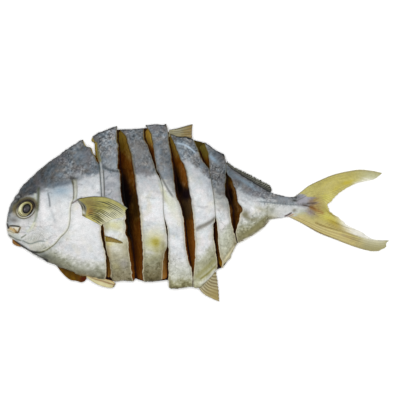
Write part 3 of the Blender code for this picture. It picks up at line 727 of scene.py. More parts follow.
# %% How each piece differs
# border: (x, y) between slate and silver, soft: its half width; mid: the grey below it, over mid_reach mm;
# slate: (x, grey) of the back; belly: (mm above the belly, red, green, blue) up to where the silver begins;
# grain, fine and glitter: how strong the specks are in the silver, in both and in the slate
PLAIN_LOOK = dict(grain=8, fine=3, glitter=28)
LOOKS = {
    "head": dict(
        border=[(0.4, -9), (7, -3), (13, 4), (20, 7), (25, 10.5), (30, 14), (36, 17.5), (45, 19.5), (53, 20.5),
                (57, 22.5), (63, 25), (71, 27.5), (79, 32)],
        soft=3.6, slate=[(0, 76), (12, 70), (18, 62), (26, 73), (38, 88), (45, 108), (54, 108), (64, 98), (80, 92)],
        mid=(190, 194, 198), mid_reach=(-20, -5), grain=10, glitter=32,
        belly=[(0, 92, 88, 68), (2.5, 128, 126, 102), (6.5, 160, 162, 143), (11, 198, 199, 190), (16, 214, 215, 210)],
    ),
    "strip_1": dict(
        border=[(78, 33), (86, 31), (94, 30)], soft=1.2, fine=7, glitter=42,
        slate=[(74, 96), (80, 110), (84, 120), (87, 136), (95, 152)],
        mid=(144, 148, 154), mid_reach=(-31, -20),
        belly=[(0, 112, 104, 76), (5, 138, 130, 102), (12, 150, 146, 122), (22, 172, 168, 142), (32, 200, 199, 174),
               (40, 214, 214, 202)],
    ),
    "strip_2": dict(
        border=[(103, 27), (114, 26.5), (126, 29.5)], soft=2.6, slate=[(95, 106), (115, 115), (126, 116)],
        mid=(178, 182, 186), mid_reach=(-20, -4),
        belly=[(0, 94, 86, 58), (5.8, 122, 114, 84), (12, 134, 130, 102), (18.6, 153, 153, 128), (27, 194, 194, 174),
               (34, 214, 216, 212)],
    ),
    "strip_3": dict(
        border=[(123, 27), (128, 24), (133, 22), (141, 20)], soft=1.6,
        slate=[(115, 142), (125, 130), (130, 120), (140, 108)], mid=(182, 184, 178), mid_reach=(-10, -2),
        belly=[(0, 110, 104, 72), (2.5, 134, 130, 94), (5, 164, 162, 128), (8, 188, 188, 168), (13, 202, 204, 192),
               (22, 210, 211, 206), (30, 217, 217, 215)],
    ),
    "strip_4": dict(
        border=[(143, 38), (150, 37.5), (153, 36.5), (158, 33), (163, 31.5), (168, 25.5)], soft=2.0,
        slate=[(136, 108), (150, 118), (170, 120)], mid=(164, 170, 176), mid_reach=(-22, -3),
        belly=[(0, 132, 126, 96), (2.5, 180, 178, 146), (5, 194, 194, 164), (12, 165, 164, 134), (20, 176, 176, 153),
               (32, 214, 215, 214)],
    ),
    "strip_5": dict(
        border=[(168, 20), (173, 16.5), (178, 10), (184, 6.5)], soft=2.8,
        slate=[(165, 118), (173, 106), (178, 92), (184, 92)], mid=(156, 158, 156), mid_reach=(-22, -3),
        belly=[(0, 150, 140, 108), (4, 176, 170, 140), (11, 181, 181, 158), (26, 197, 200, 184), (36, 192, 192, 182)],
    ),
    "tail_piece": dict(
        border=[(184, 18), (192, 13.4), (216, 3.8), (233, 2.6), (256, 1.7)], soft=3.0,
        slate=[(184, 104), (200, 114), (215, 122), (228, 142), (240, 132), (256, 120)], grain=16, fine=17, glitter=30,
        mid=(196, 200, 202), mid_reach=(-12, -3),
        belly=[(0, 132, 127, 94), (5, 151, 148, 117), (9, 168, 168, 146), (14, 190, 192, 183), (19, 208, 209, 206)],
    ),
    "far_side": dict(
        border=[(0, -7), (13, 7.5), (29, 15), (57, 23), (80, 30), (110, 27), (140, 25), (168, 20), (192, 13),
                (216, 3.8), (256, 1.7)],
        soft=3.0, slate=[(0, 78), (25, 80), (63, 98), (150, 112), (256, 120)],
        mid=(190, 194, 197), mid_reach=(-20, -5),
        belly=[(0, 92, 86, 60), (5, 128, 122, 92), (12, 156, 154, 130), (20, 184, 184, 168), (32, 214, 215, 211)],
    ),
}  # fmt: skip
print("silver begins, in mm above the belly:", {name: look["belly"][-1][0] for name, look in LOOKS.items()})

# %% [markdown]
# The belly's hem follows the outline, so its tones go by the height above the belly. The grey of the back goes
# by x, and is brushed along the rows of scales.

# %% The tones of the belly and of the back
BELLY_TONES_START = (20, 36)  # the chin has no such hem,
BELLY_TONES_END = (232, 214)  # and the wrist of the tail is silver down to its edge


def belly_tint(x, y, look, broad, small, grain):
    """(colour, share): the piece's belly tones by height above the belly, clouded, with pale and dark folds."""
    heights, *colours = np.array(look["belly"], float).T
    above = y - curve(BELLY, x) + 1.3 * small + 1.2 * grain + 1.6 * broad
    tones = np.stack([np.interp(above, heights, c) for c in colours], axis=-1)
    tones = tones + (8 * small + (2 + look["grain"]) * grain)[..., None]
    fold = rough(0.9 * x + 0.3 * y, 1.3 * y - 0.5 * x, 6, 39, 3)
    tones = tones + (10 * ring(fold, 0.16, 0.1) - 24 * ring(fold, 0, 0.09))[..., None]
    hem = smooth(*BELLY_TONES_START, x) * smooth(*BELLY_TONES_END, x)
    return tones, smooth(heights[-1], heights[-2], above) * hem


def slate_tint(x, y, name, look, broad, small, grain):
    """The piece's grey, brushed along the scales and glittering in patches, with painted shade along the back's rim.
    """
    glitter, patchy = rough(x, y, 1.0, 34, 2), smooth(-0.4, 0.5, rough(x, y * 0.6, 9, 35))
    along, over = 0.75 * x + 0.66 * y, 0.75 * y - 0.66 * x
    brush = rough(0.3 * along, over, 2.4, 38, 3) + 0.6 * rough(0.4 * along, over, 1.1, 40, 2)
    slate = straight(look["slate"], x)[..., None]
    slate = slate + np.array(SLATE_TONE) + (9 * broad + 5 * small + 8 * grain + 13 * brush)[..., None]
    slate = slate + ((12 + look["glitter"] * patchy) * glitter)[..., None]
    slate = slate + np.array((5, -1, -6)) * rough(x, y, 3, 36)[..., None]
    rim = back_of(name, x) - y + 0.4 * grain
    return layers(
        slate,
        (SHEEN, 0.28 * smooth(0.1, 0.9, rough(x, y, 9, 31))),
        (PLUM, 0.4 * smooth(0.0, 0.8, rough(x, y, 14, 32))),
        ((190, 196, 200), 0.5 * patchy * smooth(0.5, 0.9, rough(x, y, 1.3, 33, 2))),
        # painted shade in a dark line along the back's rim, where the skin turns away from the light
        ((36, 39, 41), 0.9 * smooth(1.3, 0.4, rim) * smooth(246, 238, x)),
    )


print("the belly has its tones in full from x =", BELLY_TONES_START[1], "to", BELLY_TONES_END[1])

# %% [markdown]
# The skin is painted from the bottom up: clouded silver, paler and warmer clouds, the grey under the border, the
# belly, the fine creases, and last the slate of the back.

# %% The skin's colour without its marks
CHEEK, CHEEK_SPECKS = ((34, -20), (14, 12)), 9  # the cheek is more speckled than the rest of the head


def creases(x, y, width):
    """1 along the thin wandering lines where one noise crosses 0, in the patches where another is above 0."""
    return ring(rough(x * 0.45, y, 6, 28, 3), 0, width) * smooth(-0.1, 0.5, rough(x, y, 12, 29))


def base_tint(x, y, name):
    """Clouded silver, the grey under the back's border, the belly's tones, and slate above the border."""
    look = {**PLAIN_LOOK, **LOOKS[name]}
    clouds = broad, small, grain = rough(x, y, 15, 21), rough(x, y, 4, 22), rough(x, y, 1.5, 23, 2)
    streak = rough(x * 0.35, y, 2.2, 24, 3)
    border = straight(look["border"], x) + 1.2 * small + 0.9 * grain + 2.2 * broad + 1.6 * streak
    tint = layers(
        ground(SILVER, 6 * broad + 8 * small + look["grain"] * grain),
        (WHITE_SKIN, 0.6 * smooth(0, 0.8, rough(x, y, 10, 25))),
        ((188, 194, 199), 0.5 * smooth(0.15, 0.7, rough(x * 0.6, y, 7, 26))),
        ((204, 200, 176), 0.4 * smooth(0.2, 0.8, rough(x, y * 0.7, 8, 27))),
        (look["mid"], smooth(*look["mid_reach"], y - border) * (0.85 + 0.25 * streak)),
    )
    tint = tint + np.array((3, -1, -2)) * rough(x, y, 3.4, 37)[..., None]
    tint = lay(tint, *belly_tint(x, y, look, *clouds))
    fine = look["fine"] + CHEEK_SPECKS * spot(x, y, *CHEEK) * (name == "head")
    tint = tint + (fine * rough(x, y, 1.1, 46, 2))[..., None]
    tint = tint - 46 * creases(x, y, 0.045)[..., None]
    return lay(tint, slate_tint(x, y, name, look, *clouds), smooth(-look["soft"], look["soft"], y - border))


print("flank of the third strip:", base_tint(np.array([128.0]), np.array([0.0]), "strip_3").round())

# %% [markdown]
# ## Relief of the skin
# The skin has dried onto uneven flesh, so it carries shallow swells, fine wrinkles that run along the fish, and
# stronger puckers under the jaw. Its height and its colour come from the same marks, so shade and shape agree.


# %% Height and colour of any stretch of skin
PUCKERS = ((30, -22), (7, 5), 10)
CHIN_PUCKERS = ((22.5, -26), (7, 2), 8)
SCUTE_ROW = (2.4, 0.9)  # y and half width of the row of keeled scales on the wrist of the tail
SCUTE_TURN = 2.9  # radians of their wave for each mm, so one scale is 2.2 mm long


def skin_of(x, y, name):
    """(height above the plain lens in mm, screen colour) of the skin at (x, y), on the piece of that name."""
    height = 0.4 * rough(x, y, 18, 41, 3) + 0.16 * rough(x * 0.6, y, 3.5, 42, 3) + 0.07 * rough(x, y, 1.2, 43, 2)
    height, tint = height - 0.15 * creases(x, y, 0.07), base_tint(x, y, name)
    if name in ("head", "far_side"):
        bend = 2.5 * rough(x, y, 6, 44, 2)
        for field, slope, pitch in ((PUCKERS, 0.8, 1.9), (CHIN_PUCKERS, -0.3, 2.2)):
            wave = np.sin(2 * math.pi * (x + slope * y) / pitch + bend) * spot(x, y, *field)
            # the puckers' crests are painted lighter and their hollows darker: painted light and shade
            height, tint = height + 0.3 * wave, tint + (20 * wave - 6 * np.abs(wave))[..., None]
        height, tint = add_marks(x, y, height, tint, HEAD_LINES, HEAD_PATCHES)
        height, tint = add_gill_cover(x, y, height, tint)
        height, tint = add_socket(x, y, height, tint)
    if name == "far_side":
        height, tint = add_marks(x, y, height, tint, uncut(BODY_LINES), uncut(BODY_PATCHES))
    elif name != "head":
        height, tint = add_marks(x, y, height, tint, BODY_LINES, BODY_PATCHES)
    if name == "strip_1":
        height, tint = add_knife_mark(x, y, height, tint)
    if name in ("tail_piece", "far_side"):
        scute = ring(y, *SCUTE_ROW) * smooth(208, 216, x) * smooth(250, 244, x)
        height = height + 0.25 * scute * np.cos(SCUTE_TURN * x)
        # the scutes are painted lighter where they rise and darker between them: painted light and shade
        tint = tint + 14 * (scute * np.cos(SCUTE_TURN * x))[..., None]
    return height, tint


print("height and colour of one point of the cheek:", *skin_of(np.full((1, 1), 40.0), np.full((1, 1), -10.0), "head"))

# %% [markdown]
# ## Flesh in the gashes
# Dried fish flesh is brown and waxy. It is olive-brown just under the skin of the back, rusty further in, and
# nearly black where blood has dried against the backbone, in the middle of the second, fourth and sixth gash;
# that black is partly painted shade. Towards the foot of each wall the flesh is painted darker as painted shade,
# with painted shadow just under the lip.

# %% Colour of the cut flesh
# Stains deep in the second, fourth and sixth gash: the dark ones are dried blood, darkened further as painted shade.
STAINS = {
    "gash_2": [((100, -16), (6, 20), 0, 0.4, (46, 38, 22)), ((97.8, 21), (4.4, 7), 0, 0.4, (46, 36, 34)),
               ((108.4, 0), (5, 13), 0, 0.0, (64, 48, 24)),
               ((100, 7), (6.5, 13), 0, 0.4, (36, 32, 34))],
    "gash_4": [((150, 1), (7, 11), 0, -0.2, (92, 73, 52)), ((149.6, 10), (7, 6.6), 20, -0.2, (40, 35, 38)),
               ((142.6, 20), (4.4, 14), 14, 0.3, (36, 32, 34)), ((146, -6), (4, 10), 0, 0.5, (64, 52, 38))],
    "gash_6": [((182.6, 25), (4.5, 9), -10, -1, (66, 54, 32)), ((185.4, 9), (4.6, 9), 0, 0.1, (38, 31, 25))],
}
# Each gash's flesh is painted brighter or darker by its own factor, the narrow first gash most: painted light against
# the shade inside it.
FLESH_LEVEL = {"gash_1": 2.1, "gash_2": 1.0, "gash_3": 1.35, "gash_4": 1.18, "gash_5": 1.04, "gash_6": 0.98}
FLESH_TOPS = {"gash_1": 30, "gash_2": 38, "gash_3": 44, "gash_4": 36, "gash_5": 26, "gash_6": 14}
FLESH_ENDS = {  # colour, strength, and the heights over which it comes in
    "gash_1": [((150, 118, 44), 0.6, (20, -10))],
    "gash_4": [((152, 98, 44), 0.6, (-5, -25))],
    "gash_5": [((150, 116, 40), 0.7, (-38, -48)), ((92, 84, 44), 0.75, (38, 47))],
}


def flesh_tint(x, y, s, gash):
    """s runs from the lip, 0, to the foot, 1. Rust in the middle of the height, olive near the back; painted shade
    below and painted shadow under the lip.
    """
    fibre, cloud = rough(x * 1.6, y * 0.35, 1.6, 51, 3), rough(x, y, 8, 52, 3)
    tint = layers(
        ground(FLESH, 17 * fibre + 14 * cloud + 20 * rough(x * 2, y * 0.5, 1.0, 53, 2)),
        (RUST, 0.7 * np.maximum(smooth(10, -30, y + 8 * cloud), 0.9 * ring(y + 9 * cloud, 34, 12))),
        (OLIVE_FLESH, 0.9 * smooth(FLESH_TOPS[gash], FLESH_TOPS[gash] + 20, y + 6 * cloud)),
    )
    split = smooth(36, 42, y) * (gash == "gash_1")
    tint = layers(
        tint * FLESH_LEVEL[gash],
        # painted shade towards the foot of the wall, and painted shadow in two thin lines just under the lip
        (DEEP_SHADE, 0.45 * smooth(0.45, 1.0, s + 0.15 * cloud) * (1 - split) * smooth(62, 30, y)),
        ((46, 28, 10), 0.6 * ring(s, 0.06, 0.05) * (1 - split)),
        ((16, 15, 11), 0.85 * ring(s, 0.03, 0.06) * smooth(44, 54, y) * (1 - split)),
        ((176, 162, 88), 0.9 * split),
    )
    for colour, strength, heights in FLESH_ENDS.get(gash, []):
        tint = lay(tint, colour, strength * smooth(*heights, y))
    # The lower parts of the first and third gash are painted a lighter tan near the lip: painted light on the sloping
    # wall.
    if gash in ("gash_1", "gash_3"):
        tint = lay(tint, TAN, 0.9 * smooth(-18, -34, y) * smooth(1.0, 0.35, s))
    for centre, radii, turn, start, colour in STAINS.get(gash, []):
        stain = 1 - smooth(0.35, 1.3, oval(x, y, centre, radii, turn) + 0.2 * cloud)
        tint = lay(tint, colour, 0.97 * stain * smooth(start - 0.2, start + 0.2, s + 0.2 * fibre))
    return tint


print("half way down the second gash:", flesh_tint(*np.array([[102.0], [10.0], [0.5]]), "gash_2").round())

# %% [markdown]
# ## Materials
# Blender's Principled shader does all four finishes. The painted tint comes with each point of the mesh, and
# nodes add what is finer than the mesh: mottling, tiny scales, fibres and gloss that varies. They read Object
# coordinates, which are metres here, so a pattern of 1 mm has a scale of about 1000.


# %% A small helper that builds a node and links its inputs
def node(tree, kind, inputs=None, **settings):
    """Adds a shader node; a value in inputs that is a socket is linked, and any other one is set."""
    made = tree.nodes.new(kind)
    for key, value in settings.items():
        setattr(made, key, value)
    for key, value in (inputs or {}).items():
        if isinstance(value, bpy.types.NodeSocket):
            tree.links.new(value, made.inputs[key])
        else:
            made.inputs[key].default_value = value
    return made


def spread(tree, noise, least, most):
    """The middle of a noise's values, 0.3 to 0.7, spread from least to most."""
    inputs = {"Value": noise.outputs["Fac"], "From Min": 0.3, "From Max": 0.7, "To Min": least, "To Max": most}
    return node(tree, "ShaderNodeMapRange", inputs).outputs[0]


def finish(name, specks, stretch, mottle, grain, gloss, bump, specular=0.3, coat=0.0):
    """Tint times mottling; gloss is (least, most) roughness; bump is (strength, mm); specks adds tiny scales."""
    made = bpy.data.materials.new(name)
    made.use_nodes = True
    tree = made.node_tree
    shader = tree.nodes["Principled BSDF"]
    place = node(tree, "ShaderNodeTexCoord").outputs["Object"]
    place = node(tree, "ShaderNodeMapping", {"Vector": place, "Scale": stretch}).outputs["Vector"]
    tint = node(tree, "ShaderNodeAttribute", attribute_name="Tint").outputs["Color"]
    cloud = node(tree, "ShaderNodeTexNoise", {"Vector": place, "Scale": mottle, "Detail": 5.0})
    fine = node(tree, "ShaderNodeTexNoise", {"Vector": place, "Scale": grain, "Detail": 3.0, "Roughness": 0.6})
    scales = node(tree, "ShaderNodeTexVoronoi", {"Vector": place, "Scale": specks})
    shade, dust = spread(tree, cloud, 0.9, 1.08), spread(tree, fine, 0.88, 1.1)
    level = node(tree, "ShaderNodeMath", {0: shade, 1: dust}, operation="MULTIPLY")
    mixed = node(tree, "ShaderNodeVectorMath", {0: tint, "Scale": level.outputs[0]}, operation="SCALE")
    tree.links.new(mixed.outputs[0], shader.inputs["Base Color"])
    tree.links.new(spread(tree, cloud, *gloss), shader.inputs["Roughness"])
    relief = node(tree, "ShaderNodeMath", {0: fine.outputs["Fac"], 1: scales.outputs["Distance"]}, operation="ADD")
    lift = node(tree, "ShaderNodeBump", {"Height": relief.outputs[0], "Strength": bump[0], "Distance": bump[1] * MM})
    tree.links.new(lift.outputs["Normal"], shader.inputs["Normal"])
    shader.inputs["Specular IOR Level"].default_value = specular
    shader.inputs["Coat Weight"].default_value = coat
    shader.inputs["Coat Roughness"].default_value = 0.3
    return made


SKIN_FINISH = finish("dried_skin", 1300.0, (0.7, 1, 1), 260.0, 1300.0, (0.42, 0.6), (0.4, 0.3))
FLESH_FINISH = finish("dried_flesh", 700.0, (1.8, 0.5, 1.0), 180.0, 900.0, (0.6, 0.85), (0.6, 0.5), 0.06)
FIN_FINISH = finish("dried_fin", 900.0, (1, 1, 1), 300.0, 1400.0, (0.4, 0.58), (0.3, 0.2))
print("finishes:", ", ".join(m.name for m in (SKIN_FINISH, FLESH_FINISH, FIN_FINISH)))

# %% [markdown]
# ## From grids to closed solids
# Every piece is an upper and a lower sheet on the same grid of points, joined by a strip of faces all round.
# That keeps thin skins and fins closed, with their faces outward, and makes each one a single mesh.


# %% Patch between four lines
def patch(bottom, top, left, right, u, v):
    """Coons patch: (1-v) bottom + v top + (1-u) left + u right, less the same flat patch between the corners."""
    u, v = u[:, None, None], v[None, :, None]
    along = (1 - v) * bottom[:, None] + v * top[:, None]
    up = (1 - u) * left[None] + u * right[None]
    flat = (1 - v) * ((1 - u) * bottom[0] + u * bottom[-1]) + v * ((1 - u) * top[0] + u * top[-1])
    return along + up - flat


def rows(count):
    """Shares from 0 to 1, closer together at both ends: (1 + sin(a)) / 2 for a from -90 to 90 degrees."""
    return (1 + np.sin(np.linspace(-math.pi / 2, math.pi / 2, count))) / 2


def grid_faces(nu, nv, first, upward):
    """Quads of a grid whose points are numbered from first on, along v first; their order turns them up or down."""
    i, j = np.meshgrid(np.arange(nu - 1), np.arange(nv - 1), indexing="ij")
    a = (first + i * nv + j).ravel()
    corners = [a, a + nv, a + nv + 1, a + 1]
    return np.stack(corners if upward else corners[::-1], axis=1)


print("the two faces of a grid of 2 by 3 points:", *grid_faces(2, 3, 0, True))

# %% [markdown]
# Both sheets have the same rows and columns. A strip of faces joins their borders, so the piece is closed. An
# edge stays sharp only where the faces beside it turn by more than the angle below.

# %% Sheets, joined at the border
SHARP = math.radians(48)


def put(name, data):
    """An object of that name, in the scene."""
    made = bpy.data.objects.new(name, data)
    bpy.context.scene.collection.objects.link(made)
    return made


def make_piece(name, points, faces, tints, slots, finishes):
    """A smooth shaded mesh object of quads, tinted at its points, that rides on the body."""
    mesh = bpy.data.meshes.new(name)
    mesh.from_pydata(points, [], faces)
    for made in finishes:
        mesh.materials.append(made)
    mesh.polygons.foreach_set("material_index", slots.astype(np.int32))
    colours = np.concatenate([light_of(tints), np.ones((len(tints), 1))], axis=1)
    mesh.attributes.new("Tint", "FLOAT_COLOR", "POINT").data.foreach_set("color", colours.ravel())
    mesh.shade_smooth()
    mesh.set_sharp_from_angle(angle=SHARP)
    mesh.update()
    piece = put(name, mesh)
    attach(piece, "root")
    print(name, 2 * len(faces), "triangles")
    return piece


def two_sheets(name, top, bottom, top_tint, bottom_tint, finishes, slot, top_slots=None, bottom_slot=0, edge_slot=0):
    """top and bottom are (nu, nv, 3) in fish mm. Faces: the top, the bottom turned over, and the strip between."""
    if ((top[1:, 1:, :2] - top[:-1, :-1, :2])[..., 0].mean() * (top[:, -1, 1] - top[:, 0, 1]).mean()) < 0:
        top, bottom, top_tint, bottom_tint = top[::-1], bottom[::-1], top_tint[::-1], bottom_tint[::-1]
        top_slots = None if top_slots is None else top_slots[::-1]
    nu, nv = top.shape[:2]
    count = nu * nv
    index = np.arange(count).reshape(nu, nv)
    border = np.concatenate([index[:, 0], index[-1, 1:], index[-2::-1, -1], index[0, -2:0:-1]])
    after = np.roll(border, -1)
    strip = np.stack([border + count, after + count, after, border], axis=1)
    faces = np.concatenate([grid_faces(nu, nv, 0, True), grid_faces(nu, nv, count, False), strip])
    columns = np.zeros(nu - 1) if top_slots is None else np.array(top_slots)
    slots = np.concatenate([np.repeat(columns, nv - 1), np.full((nu - 1) * (nv - 1), bottom_slot),
                            np.full(len(strip), edge_slot)])  # fmt: skip
    points = np.concatenate([top.reshape(-1, 3), bottom.reshape(-1, 3)])
    tints = np.concatenate([top_tint.reshape(-1, 3), bottom_tint.reshape(-1, 3)])
    return make_piece(name, to_frame(*points.T), faces, tints, slots, finishes)


print("sharp from", round(math.degrees(SHARP)), "degrees on")

# %% [markdown]
# ## The walls of a gash
# A wall is carried from its lip to its foot. First it drops by the thickness of the skin, then it bulges like
# cut muscle: it stays high near the lip and falls faster towards the foot, as a power of the way across.

# %% Wall columns and lips
WALL_COLUMNS = 12
SKIN_THICK = 0.5
WALL_BULGE = 1.35
BURIED = 0.6  # mm that a wall's foot reaches into the web
SUNK_SHARE = 0.35  # of the web that a strip's hidden lower face stands above the underside
LEAST_THICK = 0.05  # mm between an upper sheet and its lower one
LIP_ROLL, ROLL_WIDTH = 0.8, 1.1  # mm that the skin rolls down at a lip, and over how far
STEEP_WALL = 1.3  # the wall towards the head gets less light, and is brighter by this
# The line where touching lips meet is painted darker: painted shade in the crack between them.
CLOSED_LINE = {"gash_1": (58, 66, 60), "gash_5": (96, 98, 88)}
CLOSED_LINE_ELSEWHERE = (134, 134, 124)


def sunk(x, y):
    """The hidden lower face of a strip, inside the web."""
    return underside(x, y) + SUNK_SHARE * web(x, y)


def wall(lip, gash, side):
    """Columns from the lip (nv, 3) to the foot: x straight, z = lip - skin - drop s^bulge, with rough flesh."""
    s = (np.arange(1, WALL_COLUMNS + 1) / WALL_COLUMNS)[:, None]
    foot = foot_at(gash, side, lip)
    x = lip[None, :, 0] + (foot - lip[:, 0]) * s
    y = np.broadcast_to(lip[None, :, 1], x.shape)
    under = np.maximum(floor_of(foot, lip[:, 1]) - BURIED, sunk(foot, lip[:, 1]) + 0.1)
    thick = np.minimum(SKIN_THICK, 0.4 * (lip[:, 2] - under))
    z = lip[:, 2] - thick * np.minimum(6 * s, 1) - (lip[:, 2] - thick - under) * s**WALL_BULGE
    wide = smooth(0.5, 4, np.abs(foot - lip[:, 0]))
    ripple = 0.45 * rough(y * 0.8, z * 2.2, 3.2, 61 + side) * np.sin(math.pi * s) * wide
    points = np.stack([x + ripple * (1 if side else -1) * 0.5, y, z + ripple], axis=-1)
    return points, flesh_tint(x, y, np.broadcast_to(s, x.shape), gash) * (1 if side else STEEP_WALL)


def ragged(points, seed, size=0.35):
    """Shifts an outline by noise of its own place, except at its ends, as torn skin is."""
    points = np.array(points)
    share = np.linspace(0, 1, len(points))
    ends = smooth(0, 0.02, share) * smooth(0, 0.02, 1 - share)
    shift = [rough(points[:, 0] + 40 * k, points[:, 1], 3.0, seed + k, 3) * ends * size for k in range(2)]
    return points + np.stack(shift, axis=1)


def lip_colours(tint, to_lip, y, gash):
    """The cut edge of the skin where the lips are apart: olive near the back, cream below; where they touch, a fine
    line of painted shade.
    """
    apart = openness(gash, y)
    edge = ring(to_lip, 0, 0.55) * apart
    return layers(
        tint,
        ((150, 146, 128), 0.3 * ring(to_lip, 0, 2.0) * smooth(30, -10, y) * apart),
        ((120, 110, 80), 0.7 * edge * smooth(8, 26, y)),
        (CREAM, 0.8 * edge * smooth(10, -12, y)),
        (CLOSED_LINE.get(gash, CLOSED_LINE_ELSEWHERE), 0.8 * ring(to_lip, 0, 0.4) * (1 - apart)),
    )


def lip_line(gash, side, v):
    """A lip as measured: ragged where it is apart from the other one, and drawn up to it where they touch."""
    line = np.array(walk(LIPS[gash][side], v))
    apart = openness(gash, line[:, 1])
    if side:
        line[:, 0] -= (lip_at(gash, 1, line[:, 1]) - lip_at(gash, 0, line[:, 1]) - 0.05) * (1 - apart) ** 2
    return ragged(line, 70 + 2 * int(gash[-1]) + side, 0.35 * apart)


print("a wall has", WALL_COLUMNS, "columns below its lip")

# %% [markdown]
# ## The five strips
# A strip's skin is a patch between its two lips and its short stretches of belly and back, with the lens across
# it and a slight crown from lip to lip, because drying curls the edges down.

# %% Strips
STRIP_GRID = (44, 260)
CROWN = 0.7
EDGE = 0.3  # thickness of the skin where a strip ends at the rim


def strip(number):
    """One strip: skin patch, a wall on each side, and the hidden lower sheet."""
    name = f"strip_{number}"
    before, after = f"gash_{number}", f"gash_{number + 1}"
    u, v = np.linspace(0, 1, STRIP_GRID[0]), rows(STRIP_GRID[1])
    belly, back = (walk(stretch(name, end), u) for end in (0, -1))
    left, right = lip_line(before, 1, v), lip_line(after, 0, v)
    x, y = np.moveaxis(patch(ragged(belly, 90 + number, 0.6), ragged(back, 95 + number), left, right, u, v), -1, 0)
    height, tint = skin_of(x, y, name)
    bow = lens(2 * v - 1)[None]
    to_left, to_right = np.abs(x - x[:1]), np.abs(x - x[-1:])
    to_lip = np.minimum(to_left, to_right)
    apart = np.where(to_left < to_right, openness(before, y), openness(after, y))
    roll = CROWN * (2 * u[:, None] - 1) ** 2 + LIP_ROLL * (0.2 + 0.8 * apart) * ring(to_lip, 0, ROLL_WIDTH)
    z = middle(x) + EDGE + half(x) * bow + (height - roll) * smooth(0, 0.35, bow)
    tint = lip_colours(lip_colours(tint, to_left, y, before), to_right, y, after)
    skin = np.stack([x, y, z], axis=-1)
    near, near_tint = wall(skin[0], before, 1)
    far, far_tint = wall(skin[-1], after, 0)
    top = np.concatenate([near[::-1], skin, far])
    tints = np.concatenate([near_tint[::-1], tint, far_tint])
    lower = np.dstack([top[..., 0], top[..., 1], sunk(top[..., 0], top[..., 1])])
    top[..., 2] = np.maximum(top[..., 2], lower[..., 2] + LEAST_THICK)
    slots = [1] * WALL_COLUMNS + [0] * (len(u) - 1) + [1] * WALL_COLUMNS
    return two_sheets(name, top, lower, tints, tints, [SKIN_FINISH, FLESH_FINISH], "skin", slots, 1, 1)


for number in range(1, 6):
    strip(number)

# %% [markdown]
# ## The head
# The head is whole, so its upper sheet is the left face and its lower sheet the right one. The same height and
# colour are used on both, and on the right they are turned over. Only its cut edge, at the first gash, has a wall.

# %% Pieces that the knife left whole
def on_rim(table, x):
    """Points (x, y) of the back's or the belly's outline."""
    return np.stack([x, curve(table, x)], axis=1)


def right_skin(x, y, height, fade):
    """The lower skin: middle - half lens - height, pressed onto the surface."""
    return press(middle(x) - half(x) * lens(across(x, y)) - height * fade)


def whole_section(name, x, y, to_lip, gash):
    """Upper and lower skin of a piece, with the colours of both; the upper one rolls down at the lip."""
    height, tint = skin_of(x, y, name)
    bow = lens(across(x, y))
    fade = smooth(0, 0.3, bow)
    roll = LIP_ROLL * ring(to_lip, 0, ROLL_WIDTH)
    top = np.stack([x, y, middle(x) + half(x) * bow + (height - roll) * fade + LEAST_THICK], axis=-1)
    bottom = np.stack([x, y, right_skin(x, y, height, fade)], axis=-1)
    return top, bottom, lip_colours(tint, to_lip, y, gash), tint


def close_whole(name, top, bottom, top_tint, bottom_tint, gash, side):
    """Goes on from the cut end of both sheets, down the gash's wall and along the underside, and closes them.

    side is the wall's: 0 where it follows the last column of skin, 1 where it comes before the first one.
    """
    end = slice(0, 1) if side else slice(-1, None)
    cut, cut_tint = wall(top[end][0], gash, side)
    lower = np.dstack([cut[..., 0], cut[..., 1], underside(cut[..., 0], cut[..., 1])])
    pairs = (top, cut), (bottom, lower), (top_tint, cut_tint), (bottom_tint, cut_tint * 0 + bottom_tint[end])
    top, bottom, *tints = (np.concatenate([wall_part[::-1], skin] if side else [skin, wall_part])
                           for skin, wall_part in pairs)  # fmt: skip
    top[..., 2] = np.maximum(top[..., 2], bottom[..., 2] + LEAST_THICK)
    slots = [0] * (len(top) - WALL_COLUMNS - 1) + [1] * WALL_COLUMNS
    return two_sheets(name, top, bottom, *tints, [SKIN_FINISH, FLESH_FINISH], "skin", slots[:: -1 if side else 1])


print("the cheek's right side, in mm above the surface:", right_skin(*np.array([[40.0], [0.0], [0.0], [1.0]])))

# %% [markdown]
# The head is a patch between the snout's round end, the first lip, and the belly and back between them. Its
# columns are closer together near the snout, where the outline bends most.

# %% Head
HEAD_GRID = (150, 230)
SNOUT_BELLY, SNOUT_BACK = 1.5, 1.3  # x where the snout's round end goes over into belly and back
snout = np.concatenate([on_rim(BELLY, np.linspace(SNOUT_BELLY, 0, 20)), on_rim(BACK, np.linspace(0, SNOUT_BACK, 20))])
u, v = np.linspace(0, 1, HEAD_GRID[0]) ** 1.25, np.linspace(0, 1, HEAD_GRID[1])
v = 0.5 * v + 0.5 * rows(HEAD_GRID[1])
lip = lip_line("gash_1", 0, v)
belly = ragged(on_rim(BELLY, SNOUT_BELLY + (lip[0, 0] - SNOUT_BELLY) * u), 90, 0.45)
back = ragged(on_rim(BACK, SNOUT_BACK + (lip[-1, 0] - SNOUT_BACK) * u), 92, 0.45)
x, y = np.moveaxis(patch(belly, back, walk(snout, v), lip, u, v), -1, 0)
close_whole("head", *whole_section("head", x, y, np.abs(x[-1:] - x), "gash_1"), "gash_1", 0)

# %% [markdown]
# ## Where the tail fin grows out of the flesh
# Skin and fin have no seam: the silver turns lavender grey, then brown streaks run out between the roots of the
# rays, and the fin's own yellow begins. Both pieces are painted with the same functions, so the eye finds no
# joint. Rays run along the lobes from the wrist to the edge, so the fin is darker along each of them.

